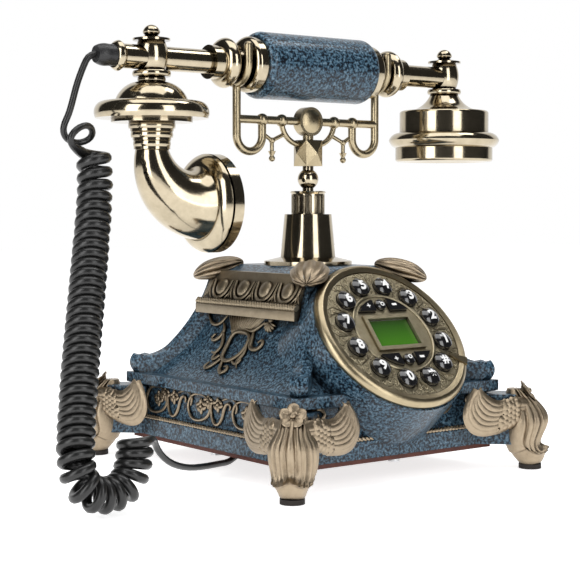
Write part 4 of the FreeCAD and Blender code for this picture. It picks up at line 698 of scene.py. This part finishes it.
def vine(points, widths, closed=False):
    run = [on_side(y, z, VINE_OUT) for y, z in points]
    return strand(run, [VINE_WIDTH * width for width in widths], closed)


def ledge_rope(start, end, turns):
    return rope(on_side(start, LEDGE_HIGH, 0.5), on_side(end, LEDGE_HIGH, 0.5), LEDGE_ROPE, turns)


def cluster(y, z, size):
    """A few small leaves round a bud."""
    leaves = [bead((1.1 * size, 1.1 * size, 1.0 * size), Matrix.Translation(on_side(y, z, 0.4)), 10, 6)]
    for number in range(6):
        angle = math.radians(60 * number + 20)
        spot = on_side(y + 2.3 * size * math.cos(angle), z + 1.9 * size * math.sin(angle), 0.5)
        turn = Matrix.Translation(spot) @ Matrix.Rotation(math.radians(-90), 4, "Z")
        turn = turn @ Matrix.Rotation(math.radians(90), 4, "X") @ Matrix.Rotation(angle, 4, "Z")
        leaves.append(bead((1.7 * size, 0.95 * size, 0.8), turn, 10, 6))
    return leaves


frieze = []
for y in (51.7, 10.4, -30.6):
    frieze.append(vine([(y + 9, 38.6), (y + 11.4, 33), (y + 7.6, 27.2), (y, 26.2), (y - 7.4, 28.6),
                        (y - 10.6, 33.6), (y - 8.6, 38.2), (y - 4, 40.4), (y + 3.5, 40.8)],
                       [0.65] * 9, True))
    frieze += cluster(y - 1.0, 34.2, 1.3) + cluster(y - 7.4, 37.4, 1.25)
for y in (51.7, 10.4):
    frieze.append(vine([(y - 10.4, 37.0), (y - 11.0, 31), (y - 14.0, 26.4), (y - 18.4, 26.0),
                        (y - 21.4, 30.4), (y - 22.6, 36.0), (y - 25.8, 38.4), (y - 28.6, 37.0),
                        (y - 27.4, 34.8)],
                       [0.4, 0.65, 0.7, 0.7, 0.7, 0.7, 0.7, 0.6, 0.4]))
    frieze.append(vine([(y - 20.6, 39.2), (y - 25.6, 41.2), (y - 31.4, 40.8), (y - 34.4, 37.4),
                        (y - 32.8, 33.6)], [0.4, 0.7, 0.75, 0.7, 0.3]))
    frieze += cluster(y - 16.2, 36.6, 1.25)
frieze.append(ledge_rope(66, -66, 27))
frieze_left = joined("frieze_left", frieze)
frieze_right = copied(frieze_left, "frieze_right", MIRROR)
dressed(frieze_left, cast)
dressed(frieze_right, cast)
flourish = [
    vine([(58, 36.2), (56, 40.2), (50.6, 41), (47.4, 37.6), (50, 34.6), (52.6, 36.4)],
         [0.5, 0.8, 0.9, 0.8, 0.7, 0.5]),
    vine([(38.4, 42.6), (37.4, 37), (34, 32.8), (28.6, 31.6), (25, 34.6)], [0.5, 0.8, 0.9, 0.7, 0.3]),
    vine([(35.4, 41.4), (31.4, 40.4), (28.6, 36), (29.6, 33.4)], [0.4, 1.3, 1.4, 0.4]),
    ledge_rope(63, 16, 10),
] + cluster(54, 36.6, 0.9)
flourish_start = joined("flourish", flourish)
quarter = Matrix.Rotation(math.radians(90), 4, "Z")
for name, side_x, side_y in (("front_left", 1, 1), ("front_right", -1, 1), ("back_left", 1, -1),
                             ("back_right", -1, -1)):
    move = Matrix.Diagonal((side_x, side_y, 1, 1)) @ Matrix.Translation((0, -DEPTH_EXTRA, 0)) @ quarter
    dressed(copied(flourish_start, "flourish_" + name, move), cast)
bpy.data.objects.remove(flourish_start)


# Feet: four cast legs with a draped front, a hemmed toe, a flower on the knee and two spread wings.
# Each is bolted to the resin pier at its corner and stands on a rubber pad.
def curve_at(points, share):
    """A place on a smooth line through the points; share runs from 0 to 1."""
    spot = min(max(share, 0.0), 1.0) * (len(points) - 1)
    first = min(int(spot), len(points) - 2)
    step = spot - first
    ends = [points[min(max(first + k, 0), len(points) - 1)] for k in (-1, 0, 1, 2)]
    return tuple(0.5 * (2 * b + (c - a) * step + (2 * a - 5 * b + 4 * c - d) * step ** 2
                        + (3 * b - a - 3 * c + d) * step ** 3) for a, b, c, d in zip(*ends))


# Each level of the leg: height, reach outwards, reach inwards and half width.
LEG_LEVELS = [(2.4, 5.8, 6.2, 6.6), (3.6, 7.2, 7.4, 7.2), (5.8, 8.5, 9.3, 8.1), (8.0, 9.3, 10.8, 9.3),
              (9.6, 9.8, 11.6, 10.1), (10.7, 7.2, 12.2, 10.0), (12.4, 5.6, 12.9, 10.3),
              (15.0, 5.2, 13.8, 10.8), (18.5, 6.3, 14.3, 11.3), (22.0, 7.8, 14.6, 11.6),
              (25.5, 8.7, 14.7, 11.5), (28.5, 8.4, 14.8, 10.7), (31.2, 7.2, 14.7, 9.1),
              (34.5, 4.6, 14.4, 7.6), (38.0, 1.0, 13.6, 6.6), (41.0, -2.6, 12.8, 5.2),
              (42.4, -4.8, 12.4, 4.0)]
FOLDS = [(13, 1.5), (29, 1.0), (44, 2.1), (63, 1.1), (84, 1.7)]
FOLD_WIDTH = 4.8
CLOTH = 0.8
HEM = 9.6
HEM_WAVE = 3.0
HEM_DIP = 0.9
HEM_SPREAD = 3.5
TOE_DEPTH = 0.95


def leg_place(s, t):
    """The leg's skin, round it with s and up it with t: a smooth toe under folds with a waved hem."""
    angle = 2 * math.pi * (s - 0.5)
    height, out, inward, half = curve_at(LEG_LEVELS, t)
    wave = HEM_WAVE * (1 - abs(math.sin(1.8 * angle))) - HEM_DIP
    under = min(max((HEM - height) / 0.7, 0.0), 1.0)
    front = max(0.0, math.cos(angle * 0.62)) ** 0.5
    drape = front * (0.25 + 0.75 * min(1.0, max(0.0, (height - 6) / 12)))
    round_leg = math.degrees(abs(angle))
    groove = sum(depth * math.exp(-((round_leg - fold) / FOLD_WIDTH) ** 2) for fold, depth in FOLDS)
    relief = (1 - under) * drape * (CLOTH - groove) - TOE_DEPTH * under
    reach = (out + inward) / 2
    size = 1 + relief / max(reach, half)
    height += wave * math.exp(-((height - HEM) / HEM_SPREAD) ** 2)
    return (half * size * math.sin(angle), (inward - out) / 2 - reach * size * math.cos(angle), height)


# Both edges of a wing, as reach from the leg's axis and height.
WING_LOW = [(5, 27), (11, 25.5), (17, 24), (25, 21.8), (33.5, 20.9), (40, 22.4), (44, 26.6),
            (44.9, 31.4), (42.4, 37.2), (37.4, 43.4)]
WING_HIGH = [(5, 36), (9.5, 37), (14, 37.2), (18.5, 36.8), (23, 36.4), (26.8, 37), (30, 38.6),
             (32.6, 40.4), (34.8, 42), (36.4, 43.3)]
WING_TURN = 35
WING_THICK = 2.6
FEATHERS = 7
FEATHER_RISE = 1.1
SCALE_PITCH = 2.5
SCALE_RISE = 1.5
SCALES_FROM = (12.0, 24.0)
SCALES_TO = 25.0


def wing_place(side):
    """The layout of one wing's outer face, on its side of the leg."""
    turn = math.radians(90 - side * WING_TURN)
    along = Vector((math.cos(turn), math.sin(turn), 0))
    outward = Vector((side * along.y, -side * along.x, 0))

    def place(s, t):
        low = Vector(curve_at(WING_LOW, s))
        high = Vector(curve_at(WING_HIGH, s))
        reach, height = low.lerp(high, t)
        edge = min(1.0, 9 * t, 9 * (1 - t))
        feather = abs(math.sin(math.pi * FEATHERS * (t * 0.96 + 0.02))) ** 0.7
        relief = 0.3 + FEATHER_RISE * feather * min(1.0, 2.5 * (1.05 - s))
        row = (reach - SCALES_FROM[0]) / SCALE_PITCH
        across = (height - SCALES_FROM[1]) / SCALE_PITCH + 0.5 * (int(row) % 2)
        cell = (row % 1 - 0.5) ** 2 + (across % 1 - 0.5) ** 2
        if SCALES_FROM[0] < reach < SCALES_TO - 0.35 * (height - SCALES_FROM[1]):
            relief = 0.7 + SCALE_RISE * math.sqrt(max(0.0, 1 - 4 * cell))
        return Vector((0, -1.5, height)) + along * reach + outward * (0.4 + relief * edge)

    return place


def foot_wing(side):
    """One wing with its thickness, feathered on the outer face."""
    wing = shaped(96, 44, wing_place(side))
    welded(wing)
    thick = wing.modifiers.new("thickness", "SOLIDIFY")
    thick.thickness = 0.001 * WING_THICK
    face_in_wing = wing.data.polygons[2000]
    thick.offset = -1.0 if face_in_wing.normal.y < 0 else 1.0
    bpy.ops.object.modifier_apply(modifier=thick.name)
    return welded(wing)


flower_frame = Matrix.Translation((0, 2.2, 40.4)) @ Matrix.Rotation(math.radians(52), 4, "X")
foot = [capped(shaped(150, 84, leg_place)), foot_wing(-1), foot_wing(1)]
PETALS = 5
PETAL_LIFT = Matrix.Rotation(math.radians(-14), 4, "Y")
for number in range(PETALS):
    spread = Matrix.Rotation(math.radians(90 + 360 / PETALS * number), 4, "Z")
    cupped = Matrix.Translation((4.0, 0, 0.9)) @ PETAL_LIFT
    foot.append(bead((2.9, 3.15, 0.8), flower_frame @ spread @ cupped, 20, 12))
    vein = Matrix.Translation((3.4, 0, 1.3)) @ PETAL_LIFT
    foot.append(bead((2.2, 0.45, 0.7), flower_frame @ spread @ vein, 10, 6))
foot.append(bead((1.7, 1.7, 1.5), flower_frame @ Matrix.Translation((0, 0, 1.7)), 16, 10))
foot.append(bead((4.6, 4.6, 1.4), flower_frame, 20, 10))
foot_casting = joined("foot_casting", foot)
FOOT_X = 80.0
FOOT_Y = 90.0
for name, (side_x, side_y, turn) in CORNERS.items():
    foot_stand = (Matrix.Translation((side_x * FOOT_X, side_y * FOOT_Y, 0))
                  @ Matrix.Rotation(math.radians(turn), 4, "Z"))
    standing = copied(foot_casting, "winged_foot_" + name, foot_stand)
    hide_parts("foot_" + name)
    dressed(standing, cast, angle=50)
bpy.data.objects.remove(foot_casting)

# Dial: a brass face in a rounded bezel, tilted on the front of the base and screwed on from inside.
# A green display lies in its middle, behind clear plastic, lighter at its foot, with a painted white
# highlight line along its upper edge.
DIAL_MIDDLE = Vector((0, -68.2, 73.0))
DIAL_FRAME = Matrix(((1, 0, 0), (0, 0.6481, -0.7615), (0, 0.7615, 0.6481)))
DIAL_TILT = 49.6
FACE = 3.2
DISPLAY_ACROSS = 0.0266
DISPLAY_UP = 0.0166
DISPLAY_FOOT = (0.052, 0.190, 0.010, 1)
DISPLAY_TOP = (0.018, 0.055, 0.008, 1)
DISPLAY_PAINTED_GLINT = (1, 1, 1, 1)
PAINTED_GLINT_FROM = 0.999


def on_dial(x, y, out):
    """A place on the dial, right, up its slope and out of its face."""
    return DIAL_MIDDLE + DIAL_FRAME @ Vector((x, y, out))


face, face_shader = new_finish("dial_face_brass", (0.56, 0.49, 0.33), 1.0, 0.38)
# The face darkens in its recesses: lacquer together with painted shade.
patina_and_painted_shade(face, face_shader, (0.05, 0.040, 0.024), (0.47, 0.41, 0.28), 0.003, 300.0)
grained(face, face_shader, 900.0, 0.00025, 0.35)
put_on(face, "dial_plate")
glass, glass_shader = new_finish("green_display", (0.06, 0.20, 0.02), 0.0, 0.22)
glass_shader.inputs["Coat Weight"].default_value = 0.25
glass_shader.inputs["Coat Roughness"].default_value = 0.08
display = glass.node_tree
spots = display.nodes.new("ShaderNodeTexCoord")
turned_in = display.nodes.new("ShaderNodeMapping")
turned_in.vector_type = "TEXTURE"
turned_in.inputs["Location"].default_value = DIAL_MIDDLE * 0.001
turned_in.inputs["Rotation"].default_value = (math.radians(DIAL_TILT), 0, 0)
turned_in.inputs["Scale"].default_value = (DISPLAY_ACROSS, DISPLAY_UP, DISPLAY_UP)
split = display.nodes.new("ShaderNodeSeparateXYZ")
tint = display.nodes.new("ShaderNodeValToRGB")
tint.color_ramp.elements[0].color = DISPLAY_FOOT
# Painted highlight: the colour turns white in a thin line along the display's upper edge.
tint.color_ramp.elements[1].color = DISPLAY_PAINTED_GLINT
tint.color_ramp.elements.new(PAINTED_GLINT_FROM).color = DISPLAY_TOP
lift = display.nodes.new("ShaderNodeMath")
lift.operation = "ADD"
lift.inputs[1].default_value = 0.5
display.links.new(spots.outputs["Object"], turned_in.inputs["Vector"])
display.links.new(turned_in.outputs["Vector"], split.inputs["Vector"])
display.links.new(split.outputs["Y"], lift.inputs[0])
display.links.new(lift.outputs["Value"], tint.inputs["Fac"])
display.links.new(tint.outputs["Color"], glass_shader.inputs["Base Color"])
put_on(glass, "lcd_panel")

# Keys: glossy black buttons, domed on the twelve digits and flat on the six lens-shaped function keys.
# The white figures are printed on top and move with their keys.
KEY_CIRCLE = 29.5
KEY_TOP = 7.2
KEY_DOME = 8.41
KEY_STEP = 30
FIRST_KEY = -15
FIGURE_HEIGHT = 5.8
FIGURE_BOLD = 0.036
SIGN_SHARE = 0.9
FIGURE_CELL = 0.7
INK_LIFT = 0.03
INK_THICK = 0.1
LENS_TOP = 4.8
BUTTON_TOP = 5.7
BUTTON_DOME = 0.05
MARK_HEIGHT = 2.4
MARK_BOLD = 0.01
MARK_ACROSS = 8.6
MARK_UP = 16.6
gloss, gloss_shader = new_finish("glossy_black_key", (0.007, 0.007, 0.008), 0.0, 0.16)
gloss_shader.inputs["Coat Weight"].default_value = 1.0
gloss_shader.inputs["Coat IOR"].default_value = 1.55
gloss_shader.inputs["Coat Roughness"].default_value = 0.05
grained(gloss, gloss_shader, 1400.0, 0.00003, 0.1)
ink, ink_shader = new_finish("white_key_ink", (0.85, 0.85, 0.84), 0.0, 0.4)
ink_wear = cloudy(ink, 2500.0, [(0.3, (0.72, 0.72, 0.71)), (0.6, (0.88, 0.88, 0.87))])
ink.node_tree.links.new(ink_wear, ink_shader.inputs["Base Color"])


def figure(name, sign, height, fatten, x, y, level, body):
    """A printed sign, cut into small cells and laid on its key; level gives the key's top in the dial."""
    bpy.ops.object.select_all(action="DESELECT")
    bpy.ops.object.text_add()
    piece = bpy.context.object
    piece.name = name
    piece.data.body = sign
    piece.data.size = 1.0
    piece.data.offset = fatten
    piece.data.resolution_u = 4
    alone(piece)
    bpy.ops.object.convert(target="MESH")
    corners = [vertex.co.copy() for vertex in piece.data.vertices]
    low = [min(co[axis] for co in corners) for axis in (0, 1)]
    high = [max(co[axis] for co in corners) for axis in (0, 1)]
    scale = height / max(high[1] - low[1], 0.8 * (high[0] - low[0]))
    for vertex in piece.data.vertices:
        vertex.co = Vector((scale * (vertex.co.x - (low[0] + high[0]) / 2),
                            scale * (vertex.co.y - (low[1] + high[1]) / 2), 0))
    bpy.ops.object.mode_set(mode="EDIT")
    for axis in ((1, 0, 0), (0, 1, 0)):
        for cell in range(-4, 5):
            bpy.ops.mesh.select_all(action="SELECT")
            bpy.ops.mesh.bisect(plane_co=Vector(axis) * FIGURE_CELL * cell, plane_no=axis)
    bpy.ops.object.mode_set(mode="OBJECT")
    for vertex in piece.data.vertices:
        spot = (vertex.co.x, vertex.co.y)
        vertex.co = on_dial(x + spot[0], y + spot[1], level(*spot) + INK_LIFT) * 0.001
    thick = piece.modifiers.new("ink", "SOLIDIFY")
    thick.thickness = 0.001 * INK_THICK
    thick.offset = 1.0
    bpy.ops.object.modifier_apply(modifier=thick.name)
    welded(piece)
    return dressed(piece, ink, body)


def on_dome(x, y):
    """The top of a digit key, out of the dial."""
    return KEY_TOP - KEY_DOME + math.sqrt(max(0.0, KEY_DOME ** 2 - x * x - y * y))


def on_lens(x, y):
    """The flat top of a lens-shaped key."""
    return LENS_TOP


def on_button(x, y):
    """The low dome of a small round key."""
    return BUTTON_TOP - BUTTON_DOME * (x * x + y * y)


SIGNS = {"star": "*", "hash": "#"}
for number, key in enumerate([*"1234567890", *SIGNS]):
    put_on(gloss, "key_" + key)
    angle = math.radians(FIRST_KEY + KEY_STEP * number)
    figure("figure_" + key, SIGNS.get(key, key), FIGURE_HEIGHT * (SIGN_SHARE if key in SIGNS else 1),
           FIGURE_BOLD, KEY_CIRCLE * math.cos(angle), KEY_CIRCLE * math.sin(angle), on_dome,
           "key_" + key + "_cap")
for row, side_y in (("top", 1), ("bottom", -1)):
    for column, sign, side_x, level in (("left", "+", -1, on_lens), ("middle", "o", 0, on_button),
                                        ("right", "-", 1, on_lens)):
        name = "function_" + row + "_" + column
        put_on(gloss, name)
        figure("mark_" + row + "_" + column, sign, MARK_HEIGHT, MARK_BOLD, side_x * MARK_ACROSS,
               side_y * MARK_UP, level, name + "_cap")

# Filigree: raised scrolls and leaves in the twelve gaps of the dial's face, with a small ring near the
# inner hoop. Cast with the face, whose ground is darkened near the raised work by lacquer and painted
# shade.
GAPS = 12
RING_OUT = 25.6
RING_RADIUS = 0.95
RING_WIRE = 0.26
RING_POINTS = 8
ABOVE_FACE = FACE + 0.1
motif_lines = [
    ([(28.0, 0), (31, 0), (35.8, 0)], [0.2, 0.42, 0.25]),
    ([(30.4, 0.2), (31.6, 2.4), (34.0, 3.4), (35.6, 2.2), (34.6, 0.9), (33.4, 1.6)],
     [0.2, 0.36, 0.4, 0.36, 0.3, 0.2]),
    ([(33.4, 3.2), (35.2, 5.2), (37.2, 5.6), (37.4, 3.8), (36.4, 3.6)], [0.2, 0.36, 0.36, 0.3, 0.2]),
    ([(35.4, 6.0), (36.6, 7.8), (37.6, 7.2)], [0.2, 0.36, 0.2]),
    ([(36.0, 0.5), (37.4, 1.6), (37.8, 2.8)], [0.2, 0.34, 0.2]),
    ([(26.2, 0.4), (27.6, 1.6), (28.6, 0.7)], [0.2, 0.32, 0.2]),
]
turns_of_ring = [2 * math.pi * number / RING_POINTS for number in range(RING_POINTS)]
ring = [(RING_OUT + RING_RADIUS * math.cos(turn), RING_RADIUS * math.sin(turn)) for turn in turns_of_ring]


def in_gap(number, points, side=1):
    """Places of a motif's points in one gap of the face, mirrored for side -1."""
    turn = 2 * math.pi * number / GAPS
    right, up = math.cos(turn), math.sin(turn)
    return [on_dial(away * right - side * aside * up, away * up + side * aside * right, ABOVE_FACE)
            for away, aside in points]


filigree = []
for number in range(GAPS):
    for points, widths in motif_lines:
        for side in (-1, 1):
            filigree.append(strand(in_gap(number, points, side), widths, sides=1, steps=3))
    filigree.append(strand(in_gap(number, ring), [RING_WIRE] * RING_POINTS, True, 1, 2))
filigree_face = joined("dial_filigree", filigree)
dressed(filigree_face, face)
